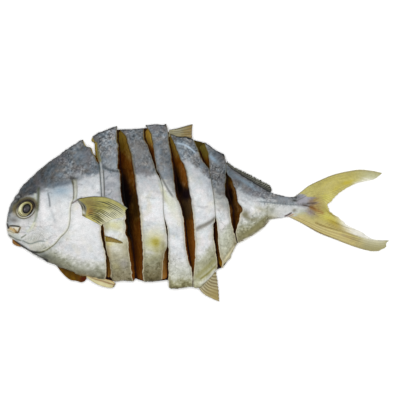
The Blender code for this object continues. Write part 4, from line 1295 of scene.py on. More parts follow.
# %% Colours of the tail fin
ROOT = ((241, 2.2), (17, 9.2))
WRIST = (242.0, 1.0)  # the point that the streaks at the root fan out from
STREAK_TURN = 78  # one streak for each full turn of this many times the angle
ROOT_LINES = {
    "root_dark": ([(246.5, 1.8), (252.5, 0.4), (258.8, -2.0)], 0, 0.45, (60, 48, 40), 0.85),
    "root_dark_2": ([(250, 3.0), (254.5, 3.2), (260, 3.4)], 0, 0.45, (60, 50, 46), 0.85),
    "root_dark_3": ([(243, 5.6), (247, 7.4), (251, 9.8)], 0, 0.4, (110, 108, 108), 0.7),
    "root_dark_4": ([(252, -2.8), (256, -5.4), (261, -8.6)], 0, 0.45, (120, 100, 84), 0.5),
    "root_brown": ([(252, 0.8), (259, -2.6), (266, -6)], 0, 1.3, (140, 96, 40), 0.7),
    "root_notch": ([(231.6, -8.1), (235, -6.6), (238.6, -4.4)], 0, 0.6, (58, 38, 34), 0.9),
    "root_notch_red": ([(234, -8.6), (237.2, -7.2), (240, -5.6)], 0, 0.4, (166, 112, 92), 0.7),
}
ROOT_PATCHES = {
    "purple": ((253.5, -4.4), (4.8, 3.6), -30, 0, (142, 132, 142), 0.8),
    "grey_low": ((245.5, -4.2), (4, 3), 0, 0, (184, 188, 172), 0.6),
    "white_middle": ((246.6, -1.2), (2.4, 1.2), 0, 0, (206, 206, 206), 0.6),
}


def fin_tint(x, y):
    """The fin without its rays: khaki, yellower near the fork, pinkish brown in the lower lobe's outer half."""
    lower = smooth(2, -4, y)
    return layers(
        ground(KHAKI, 9 * rough(x * 0.5, y, 4, 111) + 8 * rough(x, y, 1.2, 112, 2)),
        ((198, 186, 100), 0.6 * smooth(252, 270, x) * smooth(300, 282, x)),
        ((194, 178, 118), 0.75 * lower * smooth(-8, -18, y + 0.4 * (x - 262))),
        ((206, 204, 76), 0.7 * spot(x, y, (267, -7.8), (7, 3.4), -30) + 0.5 * spot(x, y, (266, 8), (5, 3))),
        ((204, 186, 40), 0.85 * spot(x, y, (284.4, 20.2), (5, 1.7), 14)),
        ((206, 192, 62), 0.6 * spot(x, y, (275.5, 15.2), (4, 1.8), 30)),
        ((200, 182, 48), 0.75 * spot(x, y, (272.5, -12.6), (5.5, 1.8), -38)),
        ((216, 200, 150), 0.5 * spot(x, y, (243, -8.4), (7, 2.4), -12)),
    )


def root_tint(x, y, skin):
    """The skin turns lavender above and greenish grey below, then goes over to the fin's tint round an oval.

    Brown streaks fan out at the border: (0.5 + 0.5 cos 78 angle) squared, 8 to 22 mm from the middle of the wrist.
    """
    wave = rough(x * 0.5, y * 1.6, 3, 115)
    grown, upper = smooth(240, 248, x + 2 * wave), smooth(-3, 3, y)
    tint = lay(skin, (186, 190, 174), 0.75 * grown * (1 - upper))
    tint = lay(tint, (168, 166, 177), 0.8 * grown * upper)
    share = smooth(0.82, 1.2, oval(x, y, *ROOT) + 0.22 * wave) * smooth(234, 241, x)
    tint = lay(tint, fin_tint(x, y), share)
    across_it, along_it = y - WRIST[1], x - WRIST[0]
    angle, reach = np.arctan2(across_it, along_it), np.hypot(along_it, across_it)
    streak = (0.5 + 0.5 * np.cos(STREAK_TURN * angle + 5 * wave)) ** 2 * smooth(0.8, 0.3, np.abs(angle))
    streak = streak * (0.4 + 0.6 * smooth(-0.4, 0.4, rough(angle * 20, reach * 0.3, 2, 117, 2)))
    near = smooth(8, 13, reach)
    tint = layers(
        tint,
        ((146, 106, 50), 0.5 * near * smooth(26, 16, reach) * smooth(0.6, 0.2, np.abs(angle))),
        ((96, 72, 52), 0.6 * streak * near * smooth(27, 14, reach)),
        ((88, 84, 80), 0.75 * spot(x, y, (249.2, 1.9), (4.2, 1.7), 0)),
    )
    return add_marks(x, y, 0, tint, ROOT_LINES, ROOT_PATCHES)[1]


print("the fin in the fork:", fin_tint(np.array([268.0]), np.array([0.0])).round())

# %% [markdown]
# ## The tail piece
# Behind the sixth gash the fish narrows to the wrist of the tail. Its flesh gets thinner until it ends inside
# the fin, whose plate then carries on at the same height.

# %% Tail piece
TAIL_GRID = (170, 170)
FLESH_END = 262.0
THINNING = 0.75  # share of its thickness that the flesh loses before it ends inside the fin
u, v = np.linspace(0, 1, TAIL_GRID[0]), rows(TAIL_GRID[1])
lip = lip_line("gash_6", 1, v)
belly = ragged(on_rim(BELLY, lip[0, 0] + (FLESH_END - lip[0, 0]) * u), 94, 0.35)
back = ragged(on_rim(BACK, lip[-1, 0] + (FLESH_END - lip[-1, 0]) * u), 97, 0.3)
end = belly[-1] + (back[-1] - belly[-1]) * v[:, None]
x, y = np.moveaxis(patch(belly, back, lip, end, u, v), -1, 0)
top, bottom, top_tint, bottom_tint = whole_section("tail_piece", x, y, np.abs(x - x[:1]), "gash_6")
inside = 1 - THINNING * smooth(FLESH_END - 9, FLESH_END - 1, x)
for sheet in (top, bottom):
    sheet[..., 2] = middle(x) + (sheet[..., 2] - middle(x)) * inside
close_whole("tail_piece", top, bottom, root_tint(x, y, top_tint), root_tint(x, y, bottom_tint), "gash_6", 1)

# %% [markdown]
# ## The uncut far side
# Under the strips lies the far side, which the knife didn't reach: skin below, and above it the web of flesh
# that makes the gashes' floors. Its outline follows the rims of the strips, and has a notch where the first gash
# has split the back and a small one where the second has split the belly. Its skin has none of the marks that
# the knife made, and goes over into that of the head and of the tail piece. It stands for the CAD solid.

# %% Far side
FAR_GRID = (200, 200)
FAR_BACK = [
    (60, 53.4), (64, 54.2), (65.2, 50), (69, 48.6), (71, 44.6), (73.2, 40.4), (74.6, 42.6), (74, 46.5),
    (73.6, 50), (73.6, 54), (74.4, 58.8), (82, 61.8), (93, 64.4), (105, 64.8), (118, 65.8), (130, 65.3),
    (137, 61.6), (147, 58.4), (156, 55.8), (165.3, 53.4), (173.1, 48.2), (182, 40.8), (184, 36.2), (188, 33),
]  # fmt: skip
FAR_BELLY = [
    (76, -59.1), (82.5, -60.2), (90.5, -61.8), (98, -61.5), (105.8, -62), (107.6, -59.6), (109.6, -60.5),
    (119.7, -62.3), (134.8, -60.8), (135.8, -64.5), (137.4, -67.3), (141.4, -68), (149.8, -66.6), (155.6, -66.7),
    (159.8, -67.5), (166.5, -62.7), (175.2, -52.4), (180, -50.3), (186.2, -42.2), (193, -30), (197, -27.6),
]  # fmt: skip
FAR_LEFT = [(76, -59.1), (78, -46), (75.5, -25), (74.5, 10), (72, 34), (66, 45), (60, 53.4)]
FAR_RIGHT = [(197, -27.6), (197, -18), (201, -2), (197, 10), (193, 20), (188, 33)]
TO_HEAD, TO_TAIL = (98, 78), (176, 192)  # x over which its skin becomes that of the neighbour
FAR_SKIN_LIFT = 0.1  # mm by which its skin lies inside that of the head and of the tail piece
FLOOR_RELIEF = 0.3  # mm of unevenness in the gashes' floors
LEAST_WEB = 0.15  # mm of flesh that is left everywhere
u, v = np.linspace(0, 1, FAR_GRID[0]), rows(FAR_GRID[1])
x, y = np.moveaxis(patch(walk(FAR_BELLY, u), walk(FAR_BACK, u), walk(FAR_LEFT, v), walk(FAR_RIGHT, v), u, v), -1, 0)
height, tint = skin_of(x, y, "far_side")
for neighbour, near in (("head", smooth(*TO_HEAD, x)), ("tail_piece", smooth(*TO_TAIL, x))):
    other_height, other_tint = skin_of(x, y, neighbour)
    height, tint = height + (other_height - height) * near, lay(tint, other_tint, near)
fade = smooth(0, 0.3, lens(across(x, y)))
bottom = np.stack([x, y, right_skin(x, y, height, fade) + FAR_SKIN_LIFT], axis=-1)
floor = np.maximum(floor_of(x, y) + FLOOR_RELIEF * rough(x, y, 4, 66) * fade, bottom[..., 2] + LEAST_WEB)
floor_tint = layers(
    flesh_tint(x, y, np.full(x.shape, 0.95), "gash_2"),
    # painted shade: the gashes' floors are painted nearly black
    ((28, 17, 9), np.full(x.shape, 0.7)),
    ((76, 68, 34), 0.7 * smooth(44, 50, y) * smooth(140, 150, x)),
)
far_side = two_sheets("far_side", np.stack([x, y, floor], axis=-1), bottom, floor_tint, tint,
                      [FLESH_FINISH, SKIN_FINISH], "skin", None, 1, 0)  # fmt: skip
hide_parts("pomfret")

# %% [markdown]
# ## Fins
# A dried fin is a stiff membrane on fine bony rays. One function makes them all: a patch between a base, a free
# edge and two sides, with rays as ripples along one direction. Rays can slant, and the free edge can be frayed.
# The sides join the ends of the base and of the edge, straight or by way of a few points between them.

# %% Fin builder
def fin(name, base, edge, grid, rays, height, paint, start=(), end=(), thick=0.9, ripple=0.12, slant=0.0, fray=0.3,
        teeth=0.0, branch=False, wander=0.12, made=FIN_FINISH):  # fmt: skip
    """Patch of base, edge and sides; z = height ± thickness, rippled by ray = cos(2 pi rays (u + slant v)).

    Where rays branch, cos of twice that takes over past the middle. The free edge is torn by |noise| * fray and
    cut in between the rays by teeth.
    """
    u, v = np.linspace(0, 1, grid[0]), np.linspace(0, 1, grid[1])
    start, end = walk([base[0], *start, edge[0]], v), walk([base[-1], *end, edge[-1]], v)
    x, y = np.moveaxis(patch(walk(base, u), walk(edge, u), start, end, u, v), -1, 0)
    u, v = np.broadcast_to(u[:, None], x.shape), np.broadcast_to(v[None], x.shape)
    phase = 2 * math.pi * (rays * (u + slant * v) + wander * rough(u * 7, v * 2, 1.0, 102, 2))
    ray = 0.5 + 0.5 * np.cos(phase)
    if branch:
        ray = ray + (0.5 + 0.5 * np.cos(2 * phase) - ray) * smooth(0.45, 0.8, v)
    sides = smooth(0, 0.04, u) * smooth(0, 0.04, 1 - u)
    tear = fray * np.abs(rough(u * rays * 0.9, v * 3, 1.0, 101, 2)) * smooth(0.75, 1, v) * sides
    tear = tear + teeth * (1 - ray) * smooth(0.5, 1, v) * sides
    inward = np.stack([x[:, :1] - x, y[:, :1] - y])
    reach = np.maximum(np.hypot(*inward), 1.0)
    x, y = x + inward[0] / reach * tear, y + inward[1] / reach * tear
    body = thick * (1 - 0.6 * v) / 2 * (1 - 0.5 * (2 * u - 1) ** 6)
    z = height(x, y, u, v)
    wave = ripple * (ray - 0.5) * smooth(0, 0.1, v)
    tint = paint(x, y, u, v, ray)
    upper, lower = np.stack([x, y, z + body + wave], axis=-1), np.stack([x, y, z - body + wave], axis=-1)
    return two_sheets(name, upper, lower, tint, tint, [made], "fin")


print("fins are made of", FIN_FINISH.name)

# %% [markdown]
# ## The tail fin
# Its two lobes are one patch from the wrist to the forked edge. The rays branch half way along the lobes. The
# membrane is nearly clear at the inner edges near the tips, which shows as white on the pale ground.


# %% Tail fin
def tail_paint(x, y, u, v, ray):
    """The fin's tint with darker valleys between the rays, brown rays below, dark outer edges and clear tips."""
    lower = smooth(2, -4, y)
    out = smooth(0.1, 0.3, v)
    uneven = 0.3 + 0.7 * smooth(-0.3, 0.5, rough(u * 14, v * 3, 1.0, 116, 2))
    outer = np.minimum(u, 1 - u)
    torn = v + 0.06 * (1 - ray) + 0.12 * rough(u * 30, v * 2, 1.0, 118, 2)
    shore = 0.62 - 0.2 * smooth(294, 304, x)
    clear = smooth(shore, shore + 0.33, torn) * smooth(270, 284, x) * smooth(0.96, 0.86, u) * smooth(320, 314, x)
    clear = clear * lower + smooth(0.85, 1, torn) * smooth(284, 296, x) * smooth(0.02, 0.1, u) * (1 - lower)
    return layers(
        root_tint(x, y, base_tint(x, y, "tail_piece")),
        ((146, 134, 72), 0.55 * (1 - ray) * uneven * out),
        ((226, 216, 150), 0.4 * ray**2 * (1 - uneven) * out),
        ((134, 100, 56), 0.72 * lower * (1 - ray) ** 1.8 * uneven * smooth(0.42, 0.56, u) * smooth(316, 292, x)),
        ((70, 58, 38), 0.85 * ring(outer, 0, 0.007) * smooth(286, 262, x)),
        ((128, 116, 66), 0.6 * ring(outer, 0, 0.012) * smooth(314, 300, x)),
        ((192, 194, 160), 0.7 * smooth(288, 306, x) * (1 - lower)),
        ((162, 158, 118), 0.8 * smooth(288, 304, x) * lower),
        ((118, 106, 58), 0.75 * (1 - ray) * uneven * smooth(284, 296, x) * smooth(0.5, 0.8, u) * lower),
        ((246, 245, 240), 0.85 * clear),
        ((150, 140, 92), 0.6 * ring(outer, 0, 0.02) * smooth(290, 300, x)),
    )


def tail_height(x, y, u, v):
    """The middle plane, warped by 0.5 mm behind the flesh."""
    return middle(x) + 0.5 * rough(x, y, 30, 113, 2) * smooth(250, 270, x)


fin(
    "tail_fin",
    base=[(240.2, 8.3), (250, 4), (252, 0), (248, -4), (234.9, -7.8)],
    edge=[(313.9, 28.4), (308.3, 23.7), (294.5, 20.5), (287, 17.3), (278.5, 11.9), (272.2, 5.6), (268.9, 0.3),
          (271.1, -4), (279.6, -10.3), (287, -16.8), (294.5, -19.9), (308.3, -27.6), (320, -28.4), (316.6, -34),
          (311, -36.8)],
    start=[(246.5, 13), (251.9, 17.3), (262.6, 22.6), (273.2, 26.9), (283.9, 29.5), (295.6, 31.1), (305.1, 30.2)],
    end=[(246.6, -13.6), (260.4, -21.5), (275.4, -27.4), (289.2, -32.7), (299.8, -35.9), (306.5, -37)],
    grid=(360, 125), rays=36, height=tail_height, paint=tail_paint, thick=1.5, ripple=0.16, fray=1.6, branch=True,
)  # fmt: skip

# %% [markdown]
# ## Fins of the back and the belly
# On the fourth strip a torn piece of the front dorsal fin stands up. The rear dorsal fin lies folded along the
# tail's back, nearly black along its root as painted shadow, with pale ray tips. Below hang a torn fan of the
# anal fin and its thin, clear hem.


# %% Dorsal and anal fins
def dorsal_paint(x, y, u, v, ray):
    """Grey-olive, brown towards the top edge, with pale rays and dark outer edges."""
    return layers(
        ground((140, 136, 108), 12 * rough(x, y, 3, 121, 3)),
        ((134, 108, 44), 0.85 * smooth(0.35, 0.85, v + 0.3 * (0.5 - u))),
        ((190, 182, 140), 0.6 * ray**2 * smooth(-0.3, 0.4, rough(x, y, 4, 125))),
        ((84, 74, 44), 0.6 * (1 - ray) ** 2),
        ((62, 56, 40), 0.85 * smooth(0.93, 1, u)),
        ((92, 66, 24), 0.85 * smooth(0.95, 1, v)),
    )


fin(
    "front_dorsal_fin",
    base=[(135.4, 58.8), (135.8, 64.3)], edge=[(155, 54.5), (154.8, 61), (155.4, 69.2)],
    start=[(143, 57), (149.8, 56)], end=[(141.4, 65.3), (148.1, 67.2)],
    grid=(60, 60), rays=6, height=lambda x, y, u, v: middle(x) + 0.4 - 0.8 * u, paint=dorsal_paint,
    fray=0.2, wander=0.3,
)  # fmt: skip


def rear_dorsal_paint(x, y, u, v, ray):
    """Dark grey, nearly black along the root as painted shadow; some rays have pale tips."""
    tint = ground((94, 94, 86), 14 * rough(x, y, 1.6, 122, 3))
    pale = smooth(-0.3, 0.4, rough(u * 16, v, 1.0, 127, 2))
    return layers(
        tint,
        ((168, 168, 152), 0.85 * smooth(0.3, 0.7, v) * ray**2 * pale),
        ((48, 48, 42), 0.7 * (1 - ray) * smooth(0.1, 0.4, v)),
        # painted shadow along the fin's root
        ((40, 42, 42), 0.92 * smooth(0.35, 0.12, v)),
    )


fin(
    "rear_dorsal_fin",
    base=[(184, 34.4), (193.2, 27.6), (204, 20.8), (213.2, 14.6), (219.5, 11.6)],
    edge=[(184, 38.4), (189, 34.6), (195.5, 31.2), (202.3, 27.8), (209.4, 24.2), (215.7, 21), (219.8, 18.2)],
    end=[(221.4, 14.2)],
    grid=(260, 30), rays=24, height=lambda x, y, u, v: middle(x) + 1.1 - 1.2 * v, paint=rear_dorsal_paint,
    thick=1.1, ripple=0.24, slant=-0.14, fray=1.0, teeth=0.35, wander=0.6,
)  # fmt: skip


def anal_paint(x, y, u, v, ray):
    """Pale straw with dark rays, more olive at the front, paler at the root."""
    return layers(
        ground((176, 167, 130), 10 * rough(x, y, 4, 123, 3)),
        ((104, 86, 52), 0.85 * ray**3 * smooth(0.02, 0.2, v)),
        ((160, 142, 84), 0.85 * smooth(0.55, 0.1, u) * smooth(0.2, 0.8, v)),
        ((120, 104, 62), 0.7 * smooth(0.93, 1, v)),
        ((180, 176, 156), 0.6 * smooth(0.25, 0, v)),
    )


fin(
    "anal_fin",
    base=[(159.2, -66.4), (163, -64), (167.5, -60), (172.5, -53.5)],
    edge=[(177.8, -79.1), (177.3, -70.9), (176.1, -60.5), (174.8, -52.8)],
    start=[(165, -72.8), (171.5, -76.3)],
    grid=(130, 60), rays=9, height=lambda x, y, u, v: middle(x) - 0.4 - 0.8 * v, paint=anal_paint,
    ripple=0.35, teeth=0.5,
)  # fmt: skip


def hem_paint(x, y, u, v, ray):
    """Pale and nearly clear, with brown flecks."""
    tint = ground((196, 192, 176), 10 * rough(x, y, 2, 124, 3))
    return lay(tint, (112, 98, 70), 0.8 * smooth(0.1, 0.6, rough(x, y, 2.6, 126, 2)))


fin(
    "anal_fin_hem",
    base=[(219.2, -10), (214.5, -15.4), (208, -20.4), (200.5, -25), (193.4, -29.4)],
    edge=[(219.8, -10.8), (215.3, -16.7), (208.6, -21.8), (201.1, -26.3), (193.4, -30.3)],
    grid=(160, 12), rays=30, height=lambda x, y, u, v: middle(x) - 0.2, paint=hem_paint, thick=0.6, ripple=0.1,
)  # fmt: skip

# %% [markdown]
# ## Pectoral fin
# The fan behind the gill cover lies on the skin and bridges the first gash. It is khaki, with a dark upper edge,
# and its rays are drawn in dark and light lines. Its root is a band of silver and dark stripes.


# %% Pectoral fin
def pectoral_paint(x, y, u, v, ray):
    """Khaki with brown near the root, grey-green and clearer towards the free edge; uneven dark and pale lines."""
    heart = spot(u, v, (0.68, 0.42), (0.24, 0.24))
    line = (1 - ray) ** 2 * smooth(-0.15, 0.4, rough(u * 9, v * 2.4, 1.0, 133, 3) + 0.45 * heart)
    pale = ray**2 * smooth(0.0, 0.5, rough(u * 9 + 5, v * 2.4, 1.0, 134, 3) + 0.3 * heart)
    width = 0.02 + 0.12 * smooth(0, 0.6, u)
    root = smooth(width + 0.03, width, v)
    stripe = 0.5 + 0.5 * np.cos(2 * math.pi * v / width * 2)
    return layers(
        ground((158, 152, 84), 10 * rough(x, y, 5, 131, 3) + 9 * rough(x, y, 1.2, 132, 2)),
        ((128, 112, 66), 0.8 * spot(x, y, (70, 3.6), (6, 3.6), -20)),
        ((170, 164, 92), 0.5 * spot(x, y, (82, 6), (9, 2), -10)),
        ((204, 204, 176), 0.85 * smooth(0.5, 0.85, v) * smooth(0.03, 0.2, u)),
        ((168, 128, 62), 0.85 * spot(x, y, (70.4, -3.8), (3.4, 3.2), -40)),
        ((190, 180, 98), 0.85 * smooth(0.76, 0.95, u) * smooth(0.1, 0.3, v)),
        ((212, 208, 178), 0.8 * smooth(0.5, 0.8, u) * smooth(0.6, 0.9, v)),
        ((40, 40, 22), 1.0 * line * smooth(0.18, 0.3, v) * smooth(1.05, 0.75, v) * smooth(0.03, 0.14, u)),
        ((80, 74, 26), 0.85 * spot(x, y, (77.4, -8.4), (4.8, 2.4), -38)),
        ((226, 224, 192), 0.75 * pale * smooth(0.3, 0.45, v) * smooth(0.25, 0.45, u)),
        ((48, 42, 38), 0.9 * smooth(0.05, 0.0, u) * smooth(0.75, 0.3, v)),
        ((118, 122, 110), 0.85 * smooth(0.045, 0.0, u) * smooth(0.3, 0.75, v)),
        ((142, 143, 136), 0.9 * root * stripe),
        ((44, 42, 42), 0.95 * root * (1 - stripe) * smooth(0.95, 0.5, u)),
        ((216, 220, 222), 0.85 * spot(x, y, (65, -4.6), (1.0, 1.7), 20)),
        ((92, 78, 34), 0.85 * spot(x, y, (64.8, -7.2), (1.8, 1.1), -30)),
    )


def on_skin(x, y, u, v):
    """0.6 mm above the left skin, and 0.9 mm more at the free edge."""
    return middle(x) + half(x) * lens(across(x, y)) + 0.6 + 0.9 * v


fin(
    "pectoral_fin",
    base=[(58.9, 6.3), (60.8, 3.6), (62.6, 0.4), (63.6, -3.6), (63.7, -7.2)],
    edge=[(101.4, -1.1), (100.2, -3.2), (99.8, -7.2), (98.6, -8.4), (93, -9.8), (87.6, -11.1), (84.5, -13.1),
          (79.8, -15.6)],
    start=[(64, 7.6), (68.5, 8.5), (74, 8.9), (81.7, 8.5), (87.6, 6.9), (92.5, 4.8), (96.2, 2.7)],
    end=[(66.5, -8.7), (71, -11), (75.5, -13.4)],
    grid=(190, 110), rays=18, height=on_skin, paint=pectoral_paint, thick=0.8, ripple=0.22, fray=1.1, teeth=0.4,
    wander=0.5,
)  # fmt: skip

# %% [markdown]
# ## Pelvic fin and flaps
# A folded pelvic fin, pale yellow, lies under the head's belly edge. In front of it hangs a brown flap, the
# shrunken other one, with a dark red-brown tip, and a small brown flap hangs under the chin.


# %% Pelvic fin, belly flap and chin flap
def pelvic_paint(x, y, u, v, ray):
    """Pale yellow, with a brown fold along it, tan above and a brown tip."""
    tint = ground((196, 187, 134), 12 * rough(x, y, 3, 141, 3))
    fold = 0.6 + 0.05 * rough(x, y, 6, 144)
    return layers(
        tint,
        ((203, 195, 148), 0.7 * spot(v, u, (0.3, 0.5), (0.2, 0.4))),
        ((128, 92, 44), 0.85 * ring(v, fold, 0.1) * smooth(0.02, 0.2, u)),
        ((176, 130, 66), 0.7 * smooth(0.72, 1, v)),
        ((92, 74, 42), 0.8 * smooth(0.9, 1, u)),
        ((120, 104, 62), 0.6 * smooth(0.08, 0.0, v)),
    )


fin(
    "pelvic_fin",
    base=[(66.7, -58.4), (70.5, -61.4), (76.1, -64.6), (81.2, -66.5), (87.5, -67.6), (89.7, -66.7)],
    edge=[(66.7, -57), (72, -58), (81.2, -59.6), (89.3, -62.2), (91.2, -64.2)],
    grid=(110, 30), rays=0.5, height=lambda x, y, u, v: middle(x) - 1.0 + 0.5 * v, paint=pelvic_paint,
    thick=1.2, fray=0.2,
)  # fmt: skip


def flap_paint(x, y, u, v, ray):
    """Olive-brown, darker at the front and between its folds, with a dark red-brown tip."""
    return layers(
        ground((102, 74, 26), 12 * rough(x, y, 3, 142, 3)),
        ((58, 46, 20), 0.8 * smooth(0.3, 0.8, v) * smooth(60, 48, x)),
        ((78, 58, 26), 0.6 * (1 - ray)),
        ((128, 96, 48), 0.6 * smooth(0.14, 0.0, v)),
        ((84, 40, 16), 0.95 * spot(x, y, (64.2, -60.2), (3.6, 2.4))),
    )


fin(
    "belly_flap",
    base=[(41.6, -48.8), (46.6, -55.2), (54.3, -61.2), (58.6, -61.8), (62.4, -62.9), (65.4, -61.8), (66.9, -59.5)],
    edge=[(43, -47.5), (50, -50), (58, -53), (66, -56.6)],
    grid=(90, 30), rays=5, height=lambda x, y, u, v: middle(x) - 2.0, paint=flap_paint, thick=1.4, fray=0.2,
    made=FLESH_FINISH,
)  # fmt: skip


def chin_paint(x, y, u, v, ray):
    """Light brown at the root and dark brown below."""
    tint = ground((148, 112, 70), 12 * rough(x, y, 2, 143, 3))
    return lay(tint, (84, 46, 14), 0.85 * smooth(0.25, 0.7, v))


fin(
    "chin_flap",
    base=[(4.9, -27), (4.9, -29.3), (8.8, -32.6), (13.3, -33.4)],
    edge=[(6, -26), (9, -28), (12, -30), (15, -32)],
    grid=(40, 20), rays=3, height=lambda x, y, u, v: middle(x) - 1.0, paint=chin_paint, thick=1.2, fray=0.1,
    made=FLESH_FINISH,
)  # fmt: skip

# %% [markdown]
# ## The eyes
# A dried eye is a flattened, cloudy dome: a pale yellowish ring, thicker below, round a dark oval pupil with a
# milky middle and a painted highlight. The ring and the pupil's edge are painted darker above, as painted shadow
# of the lid. It is a closed form on rings about its centre, and a coat gives it a soft gloss.

# %% Eyes
EYE_FINISH = finish("dried_eye", 500.0, (1, 1, 1), 300.0, 1200.0, (0.4, 0.55), (0.05, 0.1), 0.12, 0.03)
EYE_RINGS, EYE_SPOKES = 40, 96
EYE_DOME, EYE_BACK = 2.1, 0.6  # mm that the eye bulges out, and in
EYE_SUNK = 0.3  # mm that its rim lies below the socket
PUPIL_GROOVE = 0.22


def eye_tint(x, y):
    """Iris by its oval, cream below and olive above, the olive partly painted shadow of the lid; the pupil with a
    dark ring, darker above as painted shadow, a milky middle and a painted highlight.
    """
    edge, pupil = oval(x, y, EYE, EYE_RADII, EYE_TURN), oval(x, y, PUPIL, PUPIL_RADII, PUPIL_TURN)
    high = smooth(-3, 1, (x - PUPIL[0]) * 0.6 + (y - PUPIL[1]))
    return layers(
        ground((198, 195, 148), 10 * rough(x, y, 2.2, 151, 3)),
        # olive above: partly the iris's own tone, partly painted shadow of the lid
        ((158, 152, 86), 0.8 * spot(x, y, (19.4, 2.6), (4.4, 2.6), 30)),
        ((176, 138, 88), 0.85 * spot(x, y, (22.6, 0.6), (1.6, 4), -20)),
        ((118, 108, 78), 0.75 * spot(x, y, (19.6, -5.8), (3.4, 1.7), 36)),
        ((230, 228, 198), 0.9 * spot(x, y, (11.6, -1.4), (1.9, 3.4), -30)),
        ((224, 220, 180), 0.85 * spot(x, y, (14.6, -6.2), (3.2, 1.2), -20)),
        ((70, 58, 34), 0.85 * smooth(0.9, 1.0, edge)),
        ((72, 64, 36), 0.75 * ring(edge, 0.82, 0.05) * smooth(-3, -5, y) * smooth(19, 15, x)),
        ((104, 96, 58), 0.75 * ring(pupil, 1.2, 0.12)),
        ((34, 29, 27), 1 - smooth(0.92, 1.1, pupil)),
        # the pupil's ring is darker above: painted shadow of the lid
        ((22, 20, 10), 0.9 * ring(pupil, 0.95, 0.16) * (0.35 + 0.65 * high)),
        ((54, 48, 54), 0.7 * spot(x, y, (17.4, -2.2), (1.5, 1.8))),
        # a painted highlight on the pupil
        ((140, 138, 156), 0.7 * spot(x, y, (15.7, -2.0), (0.7, 1.1), -20)),
    )


def eye(name, side):
    """Rings r from 0 to 1 and back under: z = seat + side dome sqrt(1 - r²)^0.8, side -1 on the right."""
    r = np.sin(np.linspace(0, math.pi / 2, EYE_RINGS))[:, None]
    turn = np.linspace(0, 2 * math.pi, EYE_SPOKES, endpoint=False)[None]
    c, s = math.cos(math.radians(EYE_TURN)), math.sin(math.radians(EYE_TURN))
    a, b = EYE_RADII[0] * r * np.cos(turn), EYE_RADII[1] * r * np.sin(turn)
    x, y = EYE[0] + c * a - s * b, EYE[1] + s * a + c * b
    skin = half(EYE[0]) * lens(across(*map(np.array, EYE)))
    seat = middle(EYE[0]) + side * (skin - SOCKET_DEPTH - EYE_SUNK)
    groove = PUPIL_GROOVE * ring(oval(x, y, PUPIL, PUPIL_RADII, PUPIL_TURN), 1.05, 0.14)
    over = seat + side * (EYE_DOME * np.sqrt(1 - r**2) ** 0.8 - groove)
    under = np.broadcast_to(seat - side * EYE_BACK * np.sqrt(1 - r**2), x.shape)
    upper, lower = np.stack([x, y, over], axis=-1), np.stack([x, y, under], axis=-1)
    rings = np.concatenate([upper[1:], lower[-2:0:-1]])
    points = np.concatenate([rings.reshape(-1, 3), upper[:1, 0], lower[:1, 0]])
    around = np.arange(EYE_SPOKES)
    after = np.roll(around, -1)
    first = EYE_SPOKES * np.arange(len(rings) - 1)[:, None]
    quads = [first + around, first + EYE_SPOKES + around, first + EYE_SPOKES + after, first + after]
    top, last = np.full(EYE_SPOKES, len(points) - 2), EYE_SPOKES * (len(rings) - 1)
    poles = np.concatenate([[top, around, after], [top + 1, last + after, last + around]], axis=1).T
    faces = np.stack(quads, axis=-1).reshape(-1, 4).tolist() + poles.tolist()
    faces = faces if side > 0 else [face[::-1] for face in faces]
    tints = eye_tint(points[:, 0], points[:, 1])
    return make_piece(name, to_frame(*points.T), faces, tints, np.zeros(len(faces)), [EYE_FINISH])


eye("eye_left", 1)
eye("eye_right", -1)

# %% [markdown]
# ## Studio
# The picture shows the fish from straight above on plain white. A white world gives even light from all sides,
# as a light tent does, and one large lamp almost straight above the fish models the relief softly.

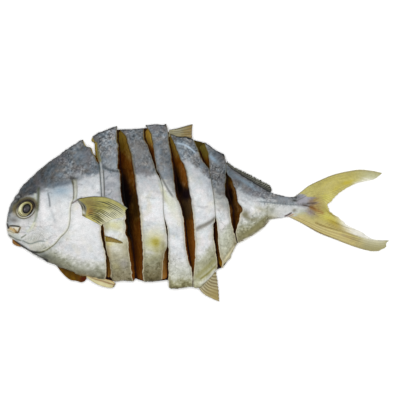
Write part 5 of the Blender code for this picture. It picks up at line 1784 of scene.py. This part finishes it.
# %% Floor
FLOOR_REACH = 3.0
corners = [(-1, -1), (1, -1), (1, 1), (-1, 1)]
floor_mesh = bpy.data.meshes.new("floor")
floor_mesh.from_pydata([(FLOOR_REACH * a, FLOOR_REACH * b, 0) for a, b in corners], [], [(0, 1, 2, 3)])
paper = bpy.data.materials.new("white_paper")
paper.use_nodes = True
paper_noise = node(paper.node_tree, "ShaderNodeTexNoise", {"Scale": 40.0})
paper_range = {"Value": paper_noise.outputs["Fac"], "To Min": 0.93, "To Max": 0.97}
paper_shade = node(paper.node_tree, "ShaderNodeMapRange", paper_range)
paper_inputs = paper.node_tree.nodes["Principled BSDF"].inputs
paper.node_tree.links.new(paper_shade.outputs[0], paper_inputs["Base Color"])
paper_inputs["Roughness"].default_value = 0.9
paper_inputs["Specular IOR Level"].default_value = 0.1
floor_mesh.materials.append(paper)
put("floor", floor_mesh)
print("floor:", 2 * FLOOR_REACH, "m wide")

# %% [markdown]
# The world gives the even part of the light. The lamp is a disk that faces the fish from about 2 m above it, and
# gives the shine on the back.

# %% Light
world = bpy.data.worlds.new("light_tent")
world.use_nodes = True
world.node_tree.nodes["Background"].inputs["Color"].default_value = (1, 1, 1, 1)
world.node_tree.nodes["Background"].inputs["Strength"].default_value = 0.36
bpy.context.scene.world = world

lamp_data = bpy.data.lights.new("softbox", "AREA")
lamp_data.shape = "DISK"
lamp_data.size = 0.7
lamp_data.energy = 43.0
lamp = put("softbox", lamp_data)
lamp.location = (-0.03, 0.05, 2.15)
lamp.rotation_euler = lamp.location.to_track_quat("Z", "Y").to_euler()
print("light:", lamp.name, lamp_data.energy, "W")

# %% [markdown]
# The camera looks straight down through a long lens, so that the outline shows as measured. One pixel of the
# 400 pixel frame is 0.8344 mm at the height of the rim.

# %% Camera
FRAME_PIXELS = 400
MM_PER_PIXEL = 0.8344
FRAME_CENTRE = (161.5, 5.8, 13.0)  # fish mm
DISTANCE = 3.0
camera_data = bpy.data.cameras.new("camera")
camera_data.sensor_width = 36
camera_data.lens = 36 * DISTANCE / (FRAME_PIXELS * MM_PER_PIXEL * MM)
camera_data.clip_end = 20
camera = put("camera", camera_data)
camera.location = tuple(to_frame(*FRAME_CENTRE) + np.array([0, 0, DISTANCE]))
bpy.context.scene.camera = camera
bpy.context.scene.view_settings.view_transform = "Standard"
print("lens", round(camera_data.lens, 1), "mm")
